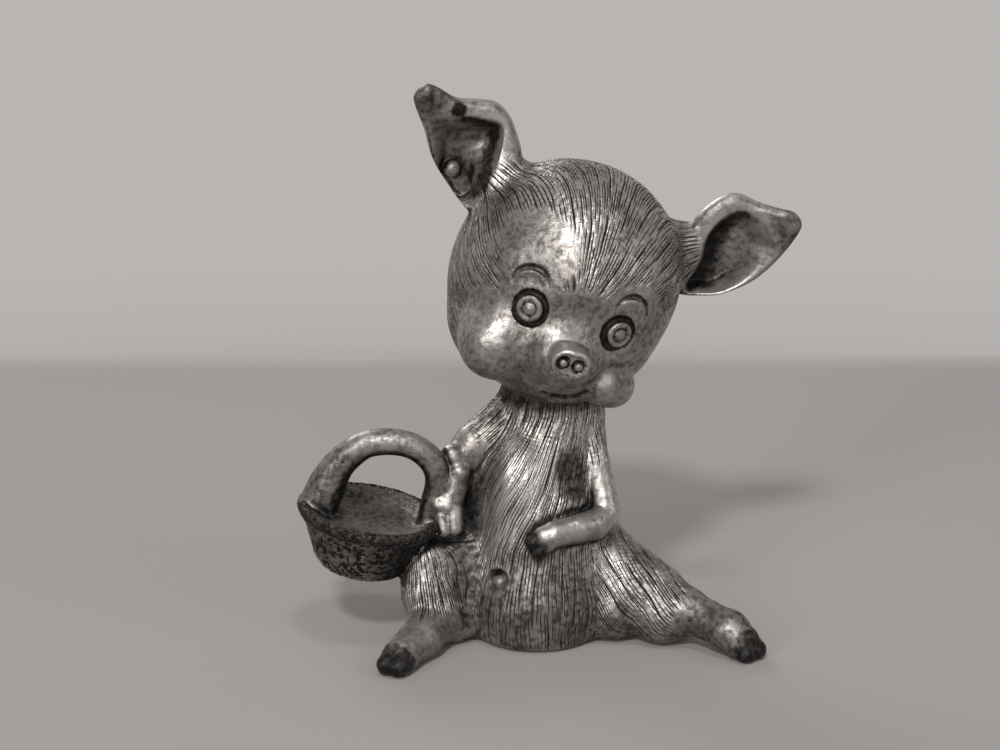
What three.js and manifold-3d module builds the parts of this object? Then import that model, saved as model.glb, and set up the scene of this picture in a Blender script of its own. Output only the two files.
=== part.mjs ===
// A seated piglet with a basket on its arm: a free-standing ornament of soldered pewter castings.
// Millimetres, +Z up. The piglet faces -Y, and its own left side is at +X.
// Each casting is cut back from its larger neighbours by the solder gap, and a peg in a socket locates it.

import * as THREE from "three";
import { mergeVertices } from "three/addons/utils/BufferGeometryUtils.js";
import Module from "manifold-3d";

const wasm = await Module();
wasm.setup();

// Joints between castings
const SOLDER_GAP = 0.3;
const PEG_DEPTH = 2.2;
const PEG_EMBED = 0.9;
const NECK_PEG_RADIUS = 1.5;
const LIMB_PEG_RADIUS = 0.9;
const SMALL_PEG_RADIUS = 0.5;

// Torso: half widths and half depths of its oval sections, from the seat up to the neck
const TORSO_HEIGHT = 22.5;
const SEAT_HALF_WIDTH = 6.4;
const SEAT_HALF_DEPTH = 8.3;
const BELLY_HEIGHT = 5;
const BELLY_HALF_WIDTH = 7.2;
const BELLY_HALF_DEPTH = 8.4;
const CHEST_HEIGHT = 14.5;
const CHEST_HALF_WIDTH = 6.15;
const CHEST_HALF_DEPTH = 6.2;
const NECK_HALF_WIDTH = 4.4;
const NECK_HALF_DEPTH = 4.5;
const NECK_LEAN = 1.6;
const PAUNCH_HEIGHT = 2.6;
const PAUNCH_FORWARD = 3.5;
const PAUNCH_HALF_WIDTH = 6.1;
const PAUNCH_HALF_DEPTH = 6.4;
const PAUNCH_HALF_HEIGHT = 5;
const FLANK_HEIGHT = 14.6;
const FLANK_ANGLE = -72;
const FLANK_RADIUS = 2.5;
const FLANK_HALF_HEIGHT = 4.4;
const FLANK_SINK = 1.2;
const NAVEL_HEIGHT = 6.4;
const NAVEL_ANGLE = -26;
const NAVEL_RADIUS = 0.62;
const NAVEL_GROOVE = 0.24;

// Head: a skull with rounded lumps, in a dished seat on the neck, tilted to the piglet's left
const HEAD_RADIUS = 10.5;
const HEAD_SEAT = 1.05;
const HEAD_OVERHANG = 0.95;
const HEAD_ROLL = 17.8;
const HEAD_YAW = 5;
const EYE_SPREAD = 4.12;
const EYE_DROP = 0.88;
const EYE_RADIUS = 1.35;
const EYE_GROOVE = 0.36;
const BROW_RADIUS = 1.55;
const BROW_SHIFT = 0.38;
const BROW_GROOVE = 0.28;
const SNOUT_RADIUS = 1.3;
const SNOUT_WIDENING = 1.28;
const SNOUT_SHIFT = 0.4;
const SNOUT_LENGTH = 0.8;
const SNOUT_DROP = 18.3;
const NOSTRIL_SPREAD = 0.68;
const NOSTRIL_RADIUS = 0.4;
const NOSTRIL_GROOVE = 0.2;
const MOUTH_HALF_WIDTH = 1.9;
const MOUTH_SHIFT = 1.2;
const MOUTH_DROP = 39.5;
const MOUTH_GROOVE = 0.34;

// Lumps of the head, and the dip at the nose's root: middle and half sizes as shares of the head's radius, and
// how softly each runs into the rest
const SKULL = { middle: [0, 0.02, 0.033], half: [1.005, 1, 1.043], soft: 0 };
const TEMPLE = { towards: [0.983, 0, -0.179], reach: 0.89, soft: 0.15 };
const NOSE_ROOT = { middle: [0.038, -1.143, 0], half: [0.381, 0.162, 0.124], soft: 0.143 };
const HEAD_LUMPS = [
  { middle: [-0.476, -0.19, -0.429], half: [0.39, 0.39, 0.39], soft: 0.19 },
  { middle: [-0.514, -0.619, -0.505], half: [0.305, 0.305, 0.305], soft: 0.18 },
  { middle: [0.014, -0.781, -0.39], half: [0.343, 0.333, 0.276], soft: 0.114 },
  { middle: [0.067, -0.657, -0.61], half: [0.314, 0.248, 0.21], soft: 0.086 },
  { middle: [0.39, -0.705, -0.543], half: [0.167, 0.167, 0.167], soft: 0.07 },
  { middle: [0.529, -0.581, -0.581], half: [0.2, 0.2, 0.2], soft: 0.06 },
];

// Ears: cupped leaves on thick stalks
const EAR_LENGTH = 12.8;
const EAR_ROOT_SINK = 1.6;
const EAR_SET_BACK = 0.6;
const EAR_FRONT = 0.65;
const EAR_BACK = 0.95;
const EAR_CUP = 2.6;
const EAR_CUP_EDGE = 1.3;
const EAR_TIP_LIFT = 0.9;
const EAR_STALK_RADIUS = 2.6;
const EAR_STALK_TIP_RADIUS = 1.6;
const EAR_SIDE_ANGLE = 34.7;

// Corners of each ear's outline and of its hollow, as shares of its length outward and upward from its root
const LEFT_EAR = {
  middle: [0.48, -0.06],
  stalk: -0.04,
  edge: [
    [0.24, 0.13], [0.38, 0.22], [0.54, 0.26], [0.64, 0.23], [0.74, 0.14], [0.87, 0.06],
    [0.96, 0.01], [0.99, -0.08], [0.93, -0.17], [0.74, -0.32], [0.56, -0.4], [0.33, -0.43],
    [0.17, -0.39], [0.02, -0.3], [0.05, -0.06],
  ],
  hollow: [
    [0.05, -0.31], [0.23, -0.08], [0.34, 0.05], [0.46, 0.14], [0.62, 0.16], [0.73, 0.06],
    [0.8, -0.05], [0.82, -0.22], [0.72, -0.33], [0.54, -0.43], [0.33, -0.46], [0.16, -0.41],
  ],
};
const RIGHT_EAR = {
  middle: [0.48, 0.08],
  stalk: 0.11,
  edge: [
    [0.12, -0.21], [0.32, -0.23], [0.56, -0.18], [0.74, -0.1], [0.91, -0.05], [0.98, -0],
    [0.99, 0.1], [0.91, 0.16], [0.79, 0.21], [0.68, 0.32], [0.58, 0.41], [0.46, 0.42],
    [0.32, 0.39], [0.17, 0.31], [0.04, 0.08],
  ],
  hollow: [
    [0.17, -0.01], [0.27, 0.13], [0.36, 0.25], [0.47, 0.33], [0.61, 0.24], [0.71, 0.13],
    [0.75, 0.03], [0.75, -0.05], [0.58, -0.2], [0.33, -0.26], [0.16, -0.21],
  ],
};

// Arms: radii of the rounded limb sections, and heights and angles of the joints round the torso
const SHOULDER_HEIGHT = 18.7;
const LEFT_SHOULDER_ANGLE = 70;
const RIGHT_SHOULDER_ANGLE = 80;
const SHOULDER_RADIUS = 1.75;
const ELBOW_RADIUS = 1.5;
const WRIST_RADIUS = 1.3;
const HOOF_RADIUS = 0.95;
const LEFT_ELBOW_HEIGHT = 11.7;
const LEFT_ELBOW_ANGLE = 53;
const LEFT_WRIST_ANGLE = 14;
const LEFT_HOOF_HEIGHT = 10.2;
const LEFT_HOOF_ANGLE = -1;
const RIGHT_ELBOW_HEIGHT = 16;
const RIGHT_ELBOW_ANGLE = 69;
const RIGHT_HOOF_HEIGHT = 10.9;
const RIGHT_HOOF_ANGLE = 54;
const RIGHT_WRIST_HEIGHT = 14;
const RIGHT_WRIST_ANGLE = 65;
const RIGHT_ELBOW_STANDOFF = 2.5;
const RIGHT_WRIST_STANDOFF = 2.9;
const RIGHT_HOOF_STANDOFF = 3.2;

// Legs: the left one is splayed out flat, the right one has its knee up under the basket
const HIP_HEIGHT = 5.4;
const LEFT_HIP_ANGLE = 75;
const RIGHT_HIP_ANGLE = 62;
const LEFT_THIGH_RADIUS = 5.1;
const LEFT_LEG_REACH = 11;
const LEFT_LEG_ANGLE = 29;
const LEFT_ANKLE_RADIUS = 1.95;
const LEFT_ANKLE_LIFT = 0.4;
const LEFT_FOOT_LENGTH = 5.2;
const LEFT_FOOT_ANGLE = 39;
const RIGHT_THIGH_RADIUS = 3.4;
const RIGHT_KNEE_REACH = 6.55;
const RIGHT_KNEE_ANGLE = 67.5;
const RIGHT_KNEE_HEIGHT = 7.2;
const RIGHT_KNEE_RADIUS = 2.4;
const RIGHT_ANKLE_RADIUS = 2.4;
const RIGHT_SHIN_IN = 1.1;
const RIGHT_SHIN_FORWARD = 1.9;
const RIGHT_FOOT_LENGTH = 6.9;
const RIGHT_FOOT_ANGLE = 115;
const CALF_RADIUS = 2.3;
const RIGHT_CALF_IN = 2.1;
const RIGHT_CALF_BACK = 0.9;
const HEEL_RADIUS = 1.7;
const RIGHT_HEEL_BACK = 0.5;
const FOOT_RADIUS = 1.55;
const TOE_SPREAD = 0.58;
const SOLE_DEPTH = 0.25;

// The floor that the feet and the seat are cut flat on
const FLOOR_SIZE = 200;
const FLOOR_DEPTH = 40;

// Tail: one curl against the back
const TAIL_HEIGHT = 6.5;
const TAIL_TURNS = 1.35;
const TAIL_CURL_RADIUS = 1.5;
const TAIL_RADIUS = 0.6;
const TAIL_STANDOFF = 1.1;

// Basket: a solid bowl with a dished top and a lipped rim, tilted on the right knee
const BASKET_RIM_RADIUS = 6.45;
const BASKET_BASE_RADIUS = 3.6;
const BASKET_HEIGHT = 5.8;
const BASKET_LIP = 0.9;
const BASKET_LIP_OVERHANG = 0.45;
const BASKET_RIM_WIDTH = 1.5;
const BASKET_DISH = 1.1;
const BASKET_ROLL = 10;
const BASKET_PITCH = 2.5;
const BASKET_OUT = 4.8;
const BASKET_BACK = 0.2;
const BASKET_RISE = 4.85;
const HANDLE_RADIUS = 1.2;
const HANDLE_HALF_SPAN = 5;
const HANDLE_HEIGHT = 7.9;

// The handle's bend: places as shares of its half span and height
const HANDLE_BEND = [
  [-0.94, 0],
  [-0.86, 0.21],
  [-0.76, 0.42],
  [-0.6, 0.65],
  [-0.3, 0.88],
  [0.08, 0.985],
  [0.44, 1],
  [0.7, 0.95],
  [0.93, 0.84],
  [1.07, 0.67],
  [1.11, 0.49],
  [1.1, 0.24],
  [1.08, 0],
];

// Fineness of the faceted surfaces
const LIMB_SIDES = 12;
const CAP_STEPS = 3;
const TORSO_SIDES = 28;
const TORSO_STEPS = 10;
const HEAD_SIDES = 56;
const HEAD_RINGS = 36;
const EAR_SIDES = 36;
const EAR_RINGS = 16;
const OUTLINE_STEPS = 120;
const BOWL_SIDES = 28;
const HANDLE_SIDES = 8;
const HANDLE_STEPS = 24;
const TAIL_STEPS = 12;
const GROOVE_SIDES = 5;
const RING_STEPS = 14;

const UP = new THREE.Vector3(0, 0, 1);
const ALONG = new THREE.Vector3(0, 1, 0);
const radians = THREE.MathUtils.degToRad;
const at = (x, y, z) => new THREE.Vector3(x, y, z);

// Solids

function solidOf(geometry) {
  const bare = geometry.index ? geometry.toNonIndexed() : geometry.clone();
  bare.deleteAttribute("normal");
  bare.deleteAttribute("uv");
  const merged = mergeVertices(bare, 1e-4);
  const corners = merged.index.array;
  const triVerts = [];
  for (let i = 0; i < corners.length; i += 3) {
    const [a, b, c] = [corners[i], corners[i + 1], corners[i + 2]];
    if (a !== b && b !== c && a !== c) triVerts.push(a, b, c);
  }
  const vertProperties = merged.attributes.position.array;
  return new wasm.Manifold(
    new wasm.Mesh({ numProp: 3, vertProperties, triVerts: new Uint32Array(triVerts) }),
  );
}

function geometryOf(solid) {
  const mesh = solid.getMesh();
  return new THREE.BufferGeometry()
    .setAttribute("position", new THREE.BufferAttribute(mesh.vertProperties, 3))
    .setIndex(new THREE.BufferAttribute(mesh.triVerts, 1));
}

// All lumps as one solid, carried by a matrix into the frame where it is cut.
function fused(lumps, matrix = new THREE.Matrix4()) {
  const solids = lumps.map((lump) => solidOf(lump.clone().applyMatrix4(matrix)));
  return solids.reduce((whole, solid) => whole.add(solid));
}

function cutBack(solid, ...neighbours) {
  return neighbours.reduce((left, neighbour) => left.subtract(neighbour), solid);
}

// Limbs and pegs

// A tapered bone with round ends, turned about its own line.
function bone(start, startRadius, end, endRadius, grow = 0) {
  const line = end.clone().sub(start);
  const length = line.length();
  const low = startRadius + grow;
  const high = endRadius + grow;
  const tilt = Math.asin((low - high) / length);
  const profile = [];
  for (let i = 0; i <= CAP_STEPS; i++) {
    const angle = THREE.MathUtils.lerp(-Math.PI / 2, tilt, i / CAP_STEPS);
    profile.push(new THREE.Vector2(low * Math.cos(angle), low * Math.sin(angle)));
  }
  for (let i = 0; i <= CAP_STEPS; i++) {
    const angle = THREE.MathUtils.lerp(tilt, Math.PI / 2, i / CAP_STEPS);
    profile.push(new THREE.Vector2(high * Math.cos(angle), length + high * Math.sin(angle)));
  }
  profile[0].x = 0;
  profile[profile.length - 1].x = 0;
  const turn = new THREE.Quaternion().setFromUnitVectors(ALONG, line.normalize());
  return new THREE.LatheGeometry(profile, LIMB_SIDES)
    .applyQuaternion(turn)
    .translate(start.x, start.y, start.z);
}

// A straight round peg from one point towards another, longer by the grow at its far end.
function peg(start, end, radius, grow = 0) {
  const line = end.clone().sub(start);
  const length = line.length() + grow;
  const turn = new THREE.Quaternion().setFromUnitVectors(ALONG, line.normalize());
  return new THREE.CylinderGeometry(radius + grow, radius + grow, length, LIMB_SIDES)
    .translate(0, length / 2, 0)
    .applyQuaternion(turn)
    .translate(start.x, start.y, start.z);
}

// A tube of constant radius along a curve.
function tube(curve, radius, sides, steps) {
  const section = new THREE.Shape().absarc(0, 0, radius, 0, 2 * Math.PI, false);
  return new THREE.ExtrudeGeometry(new THREE.Shape(section.getPoints(sides / 4)), {
    steps,
    bevelEnabled: false,
    extrudePath: curve,
  });
}

// A round groove that leaves a button standing in its middle, square to a direction.
function ringGroove(centre, direction, radius, groove) {
  const turn = new THREE.Quaternion().setFromUnitVectors(UP, direction);
  return new THREE.TorusGeometry(radius, groove, GROOVE_SIDES, RING_STEPS)
    .applyQuaternion(turn)
    .translate(centre.x, centre.y, centre.z);
}

// Torso

const torsoSections = new THREE.CatmullRomCurve3([
  at(SEAT_HALF_WIDTH, SEAT_HALF_DEPTH, 0),
  at(BELLY_HALF_WIDTH, BELLY_HALF_DEPTH, BELLY_HEIGHT),
  at(CHEST_HALF_WIDTH, CHEST_HALF_DEPTH, CHEST_HEIGHT),
  at(NECK_HALF_WIDTH, NECK_HALF_DEPTH, TORSO_HEIGHT),
]);
const torsoRings = torsoSections.getPoints(TORSO_STEPS);

// The section at a height: half width as x, half depth as y.
function torsoSection(height) {
  const above = Math.max(1, torsoRings.findIndex((ring) => ring.z >= height));
  const [low, high] = [torsoRings[above - 1], torsoRings[above]];
  return low.clone().lerp(high, (height - low.z) / (high.z - low.z));
}

const torsoLean = (height) => NECK_LEAN * (height / TORSO_HEIGHT) ** 2;

// A point off the torso's skin. The angle runs from the front towards the piglet's left.
function torsoPoint(height, angle, standoff = 0) {
  const section = torsoSection(height);
  return at(
    torsoLean(height) + (section.x + standoff) * Math.sin(radians(angle)),
    -(section.y + standoff) * Math.cos(radians(angle)),
    height,
  );
}

// A peg through the torso's skin, from just outside it, or what rises there, to its depth inside.
function skinPeg(height, angle, radius, grow, rise = 0) {
  const start = torsoPoint(height, angle, PEG_EMBED + rise);
  return peg(start, torsoPoint(height, angle, -PEG_DEPTH), radius, grow);
}

function torsoLumps(grow = 0) {
  const profile = torsoRings.map((ring) => new THREE.Vector2(ring.x + grow, ring.z));
  profile.unshift(new THREE.Vector2(0, 0));
  profile.push(new THREE.Vector2(0, TORSO_HEIGHT));
  const geometry = new THREE.LatheGeometry(profile, TORSO_SIDES).rotateX(Math.PI / 2);
  const place = geometry.attributes.position;
  for (let i = 0; i < place.count; i++) {
    const height = THREE.MathUtils.clamp(place.getZ(i), 0, TORSO_HEIGHT);
    const section = torsoSection(height);
    place.setX(i, place.getX(i) + torsoLean(height));
    place.setY(i, (place.getY(i) * (section.y + grow)) / (section.x + grow));
  }
  return [geometry, flank(grow), paunch(grow)];
}

// A ball whose half sizes are set by themselves.
function oval(middle, halfWidth, halfDepth, halfHeight) {
  return new THREE.SphereGeometry(1, 2 * LIMB_SIDES, LIMB_SIDES)
    .rotateX(Math.PI / 2)
    .scale(halfWidth, halfDepth, halfHeight)
    .translate(middle.x, middle.y, middle.z);
}

// The swelling of the chest's side over the basket.
function flank(grow) {
  const middle = torsoPoint(FLANK_HEIGHT, FLANK_ANGLE, -FLANK_SINK);
  const round = FLANK_RADIUS + grow;
  return oval(middle, round, round, FLANK_HALF_HEIGHT + grow);
}

// How far the flank stands out from the torso's skin at a height.
function flankRise(height) {
  const share = THREE.MathUtils.clamp((height - FLANK_HEIGHT) / FLANK_HALF_HEIGHT, -1, 1);
  return Math.max(0, FLANK_RADIUS * Math.sqrt(1 - share ** 2) - FLANK_SINK);
}

// The belly that sags over the lap.
function paunch(grow) {
  const middle = at(torsoLean(PAUNCH_HEIGHT), -PAUNCH_FORWARD, PAUNCH_HEIGHT);
  return oval(middle, PAUNCH_HALF_WIDTH + grow, PAUNCH_HALF_DEPTH + grow, PAUNCH_HALF_HEIGHT + grow);
}

// Head, in its own frame: +X to the piglet's left, -Y out of the face

const neckTop = at(torsoLean(TORSO_HEIGHT), 0, TORSO_HEIGHT);
const headGroup = new THREE.Group();
headGroup.position.set(
  neckTop.x + HEAD_OVERHANG,
  neckTop.y - HEAD_OVERHANG,
  neckTop.z + HEAD_RADIUS - HEAD_SEAT,
);
headGroup.quaternion
  .setFromAxisAngle(ALONG, radians(HEAD_ROLL))
  .multiply(new THREE.Quaternion().setFromAxisAngle(UP, radians(HEAD_YAW)));
headGroup.updateMatrix();
const intoHead = headGroup.matrix.clone().invert();

// The smaller of two distances, run together softly.
function softLeast(a, b, soft) {
  const near = Math.max(soft - Math.abs(a - b), 0);
  return Math.min(a, b) - (soft > 0 ? near ** 2 / (4 * soft) : 0);
}

// How far a point lies outside a lump, both as shares of the head's radius.
function lumpDistance(point, lump) {
  const half = at(...lump.half);
  const offset = point.clone().sub(at(...lump.middle)).divide(half);
  const reach = offset.length();
  return ((reach - 1) * reach) / offset.divide(half).length();
}

function headDistance(point) {
  const beyondTemple = point.dot(at(...TEMPLE.towards)) - TEMPLE.reach;
  const skull = -softLeast(-lumpDistance(point, SKULL), -beyondTemple, TEMPLE.soft);
  const dipped = -softLeast(-skull, lumpDistance(point, NOSE_ROOT), NOSE_ROOT.soft);
  return HEAD_LUMPS.reduce((least, lump) => softLeast(least, lumpDistance(point, lump), lump.soft), dipped);
}

// The distance from the head's middle to its skin in a direction, halved in on from outside.
function headReach(direction) {
  const stride = 0.05;
  let outer = 1.4;
  while (headDistance(direction.clone().multiplyScalar(outer - stride)) > 0) outer -= stride;
  let inner = outer - stride;
  for (let i = 0; i < 9; i++) {
    const half = (inner + outer) / 2;
    if (headDistance(direction.clone().multiplyScalar(half)) > 0) outer = half;
    else inner = half;
  }
  return outer * HEAD_RADIUS;
}

const onHead = (direction) => direction.clone().multiplyScalar(headReach(direction));

const headBall = new THREE.SphereGeometry(1, HEAD_SIDES, HEAD_RINGS).rotateX(Math.PI / 2);
const headSkin = [];
for (let i = 0; i < headBall.attributes.position.count; i++) {
  headSkin.push(onHead(new THREE.Vector3().fromBufferAttribute(headBall.attributes.position, i).normalize()));
}

function headLumps(grow = 0) {
  const geometry = headBall.clone();
  headSkin.forEach((point, i) => {
    const grown = point.clone().setLength(point.length() + grow);
    geometry.attributes.position.setXYZ(i, grown.x, grown.y, grown.z);
  });
  return [geometry];
}

const faceDirection = (x, drop) =>
  at(x, -Math.sqrt(HEAD_RADIUS ** 2 - x ** 2 - drop ** 2), -drop).normalize();

const snoutDirection = faceDirection(SNOUT_SHIFT, HEAD_RADIUS * Math.sin(radians(SNOUT_DROP)));
const snoutBase = onHead(snoutDirection).addScaledVector(snoutDirection, -SNOUT_LENGTH);
const snoutFace = snoutBase.clone().addScaledVector(snoutDirection, 2 * SNOUT_LENGTH);

function eyeGrooves(side) {
  const eye = faceDirection(side * EYE_SPREAD, EYE_DROP);
  const eyeAt = onHead(eye);
  const across = at(0, 0, 1).cross(eye).normalize();
  const above = eye.clone().cross(across);
  const browPoints = [180, 135, 90, 45, 0].map((angle) => {
    const out = side * BROW_SHIFT + BROW_RADIUS * Math.cos(radians(angle));
    const up = EYE_RADIUS + EYE_GROOVE + BROW_RADIUS * Math.sin(radians(angle));
    return onHead(eyeAt.clone().addScaledVector(across, out).addScaledVector(above, up).normalize());
  });
  return [
    ringGroove(eyeAt, eye, EYE_RADIUS, EYE_GROOVE),
    tube(new THREE.CatmullRomCurve3(browPoints), BROW_GROOVE, 8, 8),
  ];
}

function mouthGroove() {
  const points = [-1, -0.5, 0, 0.5, 1].map((share) => {
    const drop = radians(MOUTH_DROP - 3 * share ** 2 - 2 * share);
    const x = (share * MOUTH_HALF_WIDTH + MOUTH_SHIFT) / HEAD_RADIUS;
    return onHead(at(x, -Math.cos(drop), -Math.sin(drop)).normalize());
  });
  return tube(new THREE.CatmullRomCurve3(points), MOUTH_GROOVE, 8, 10);
}

// The snout's oval disc.
function snout() {
  return peg(snoutBase, snoutFace, SNOUT_RADIUS)
    .translate(-snoutFace.x, 0, 0)
    .scale(SNOUT_WIDENING, 1, 1)
    .translate(snoutFace.x, 0, 0);
}

function nostrilGroove(side) {
  const nostril = snoutFace.clone().add(at(side * NOSTRIL_SPREAD, 0, 0));
  return ringGroove(nostril, snoutDirection, NOSTRIL_RADIUS, NOSTRIL_GROOVE);
}

// The torso's neck peg stands up into the head.
const neckPeg = (grow) =>
  peg(
    at(headGroup.position.x, headGroup.position.y, TORSO_HEIGHT - HEAD_SEAT - PEG_DEPTH),
    at(headGroup.position.x, headGroup.position.y, TORSO_HEIGHT - HEAD_SEAT + PEG_DEPTH),
    NECK_PEG_RADIUS,
    grow,
  );

// Ears, in the head's frame

// A smooth closed outline through corners, as its distance from the middle by direction.
function outlineReach(corners, middle) {
  const round = corners.map(([along, across]) => at(along - middle[0], across - middle[1], 0));
  const spots = new THREE.CatmullRomCurve3(round, true)
    .getPoints(OUTLINE_STEPS)
    .slice(1)
    .map((point) => ({ turn: Math.atan2(point.y, point.x), reach: Math.hypot(point.x, point.y) }))
    .sort((a, b) => a.turn - b.turn);
  return (turn) => {
    const next = spots.findIndex((spot) => spot.turn > turn);
    const after = spots.at(Math.max(next, 0));
    const before = spots.at(Math.max(next, 0) - 1);
    const gap = THREE.MathUtils.euclideanModulo(after.turn - before.turn, 2 * Math.PI);
    const way = THREE.MathUtils.euclideanModulo(turn - before.turn, 2 * Math.PI);
    return THREE.MathUtils.lerp(before.reach, after.reach, way / gap);
  };
}

function ear(side, form) {
  const angle = radians(EAR_SIDE_ANGLE);
  const outward = at(side * Math.cos(angle), 0, Math.sin(angle));
  const upward = at(-side * Math.sin(angle), 0, Math.cos(angle));
  const forward = at(0, -1, 0);
  const root = outward.clone().multiplyScalar(headReach(outward) - EAR_ROOT_SINK);
  const placed = (along, across, rise) =>
    root
      .clone()
      .addScaledVector(outward, along)
      .addScaledVector(upward, across)
      .addScaledVector(forward, rise - EAR_SET_BACK);
  const edgeReach = outlineReach(form.edge, form.middle);
  const hollowReach = outlineReach(form.hollow, form.middle);
  const leaf = new THREE.SphereGeometry(1, EAR_SIDES, EAR_RINGS).rotateX(Math.PI / 2);
  const place = leaf.attributes.position;
  for (let i = 0; i < place.count; i++) {
    const [x, y, z] = [place.getX(i), place.getY(i), place.getZ(i)];
    const turn = Math.atan2(y, x);
    const share = Math.hypot(x, y);
    const reach = share * edgeReach(turn);
    const along = form.middle[0] + reach * Math.cos(turn);
    const across = form.middle[1] + reach * Math.sin(turn);
    const inside = (hollowReach(turn) - reach) * EAR_LENGTH;
    const shallower = 1 - 0.9 * THREE.MathUtils.smoothstep(along, 0.375, 0.88);
    const hollow = EAR_CUP * THREE.MathUtils.smoothstep(inside, 0, EAR_CUP_EDGE) * shallower;
    const lift = EAR_TIP_LIFT * THREE.MathUtils.smoothstep(along, 0.65, 1);
    const front = lift + EAR_FRONT - hollow;
    const back = lift - EAR_BACK - 0.8 * hollow;
    const full = Math.sign(z) * Math.sqrt(Math.max(0, 1 - share ** 6));
    const rise = (front + back) / 2 + (full * (front - back)) / 2;
    const point = placed(along * EAR_LENGTH, across * EAR_LENGTH, rise);
    place.setXYZ(i, point.x, point.y, point.z);
  }
  if (side < 0) turnFacesRound(leaf);
  const aside = form.stalk * EAR_LENGTH;
  const behind = EAR_SET_BACK - EAR_STALK_TIP_RADIUS;
  const stalk = bone(
    placed(0, aside, behind),
    EAR_STALK_RADIUS,
    placed(EAR_ROOT_SINK + EAR_STALK_TIP_RADIUS, aside, 2 * behind - EAR_FRONT),
    EAR_STALK_TIP_RADIUS,
  );
  const pegStart = placed(EAR_ROOT_SINK + PEG_EMBED, aside, behind);
  const pegEnd = placed(-PEG_DEPTH, aside, behind);
  return { lumps: [leaf, stalk], earPeg: (grow) => peg(pegStart, pegEnd, LIMB_PEG_RADIUS, grow) };
}

function turnFacesRound(geometry) {
  const corners = geometry.index.array;
  for (let i = 0; i < corners.length; i += 3) {
    [corners[i], corners[i + 1]] = [corners[i + 1], corners[i]];
  }
}

// Arms

function armBones(joints, grow = 0) {
  const lumps = [];
  for (let i = 1; i < joints.length; i++) {
    lumps.push(bone(joints[i - 1].at, joints[i - 1].r, joints[i].at, joints[i].r, grow));
  }
  return lumps;
}

const leftWristHeight = (LEFT_ELBOW_HEIGHT + LEFT_HOOF_HEIGHT) / 2;

// The right shoulder stands on the flank where that swells under it.
const shoulderFlank = flankRise(SHOULDER_HEIGHT);
const rightShoulderStandoff = shoulderFlank - 0.3 * SHOULDER_RADIUS;

const leftArmJoints = [
  { at: torsoPoint(SHOULDER_HEIGHT, LEFT_SHOULDER_ANGLE, -0.6 * SHOULDER_RADIUS), r: SHOULDER_RADIUS },
  { at: torsoPoint(LEFT_ELBOW_HEIGHT, LEFT_ELBOW_ANGLE, 0.3 * ELBOW_RADIUS), r: ELBOW_RADIUS },
  { at: torsoPoint(leftWristHeight, LEFT_WRIST_ANGLE, 0.7 * WRIST_RADIUS), r: WRIST_RADIUS },
  { at: torsoPoint(LEFT_HOOF_HEIGHT, LEFT_HOOF_ANGLE, HOOF_RADIUS), r: HOOF_RADIUS },
];
const rightArmJoints = [
  { at: torsoPoint(SHOULDER_HEIGHT, -RIGHT_SHOULDER_ANGLE, rightShoulderStandoff), r: SHOULDER_RADIUS },
  { at: torsoPoint(RIGHT_ELBOW_HEIGHT, -RIGHT_ELBOW_ANGLE, RIGHT_ELBOW_STANDOFF), r: ELBOW_RADIUS },
  { at: torsoPoint(RIGHT_WRIST_HEIGHT, -RIGHT_WRIST_ANGLE, RIGHT_WRIST_STANDOFF), r: WRIST_RADIUS },
  { at: torsoPoint(RIGHT_HOOF_HEIGHT, -RIGHT_HOOF_ANGLE, RIGHT_HOOF_STANDOFF), r: HOOF_RADIUS },
];

const leftElbowPeg = (grow) => skinPeg(LEFT_ELBOW_HEIGHT, LEFT_ELBOW_ANGLE, LIMB_PEG_RADIUS, grow);
const rightShoulderPeg = (grow) =>
  skinPeg(SHOULDER_HEIGHT, -RIGHT_SHOULDER_ANGLE, LIMB_PEG_RADIUS, grow, shoulderFlank);

// Legs

const level = (angle) => at(Math.cos(radians(angle)), -Math.sin(radians(angle)), 0);

const leftHip = torsoPoint(HIP_HEIGHT, LEFT_HIP_ANGLE, -LEFT_THIGH_RADIUS / 2);
const leftAnkle = leftHip.clone().addScaledVector(level(LEFT_LEG_ANGLE), LEFT_LEG_REACH);
leftAnkle.z = LEFT_ANKLE_RADIUS - SOLE_DEPTH + LEFT_ANKLE_LIFT;
const leftToe = leftAnkle.clone().addScaledVector(level(LEFT_FOOT_ANGLE), LEFT_FOOT_LENGTH);
leftToe.z = FOOT_RADIUS - SOLE_DEPTH;
const leftCalf = leftHip.clone().lerp(leftAnkle, 0.2).add(at(0, -CALF_RADIUS, 0)).setZ(CALF_RADIUS);
const leftShin = leftHip.clone().lerp(leftAnkle, 0.6).add(at(0, -CALF_RADIUS / 2, 0)).setZ(CALF_RADIUS);

const rightHip = torsoPoint(HIP_HEIGHT, -RIGHT_HIP_ANGLE, -RIGHT_THIGH_RADIUS / 1.3);
const rightKnee = torsoPoint(HIP_HEIGHT, -RIGHT_KNEE_ANGLE, RIGHT_KNEE_REACH - RIGHT_THIGH_RADIUS / 1.3);
rightKnee.z = RIGHT_KNEE_HEIGHT;
const rightAnkle = at(
  rightKnee.x + RIGHT_SHIN_IN,
  rightKnee.y - RIGHT_SHIN_FORWARD,
  RIGHT_ANKLE_RADIUS,
);
const rightCalf = rightKnee.clone().lerp(rightAnkle, 0.5).add(at(RIGHT_CALF_IN, RIGHT_CALF_BACK, 0));
const rightHeel = at(rightAnkle.x + HEEL_RADIUS, rightAnkle.y + RIGHT_HEEL_BACK, HEEL_RADIUS);
const rightToe = rightAnkle.clone().addScaledVector(level(RIGHT_FOOT_ANGLE), RIGHT_FOOT_LENGTH);
rightToe.z = FOOT_RADIUS - SOLE_DEPTH;

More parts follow.
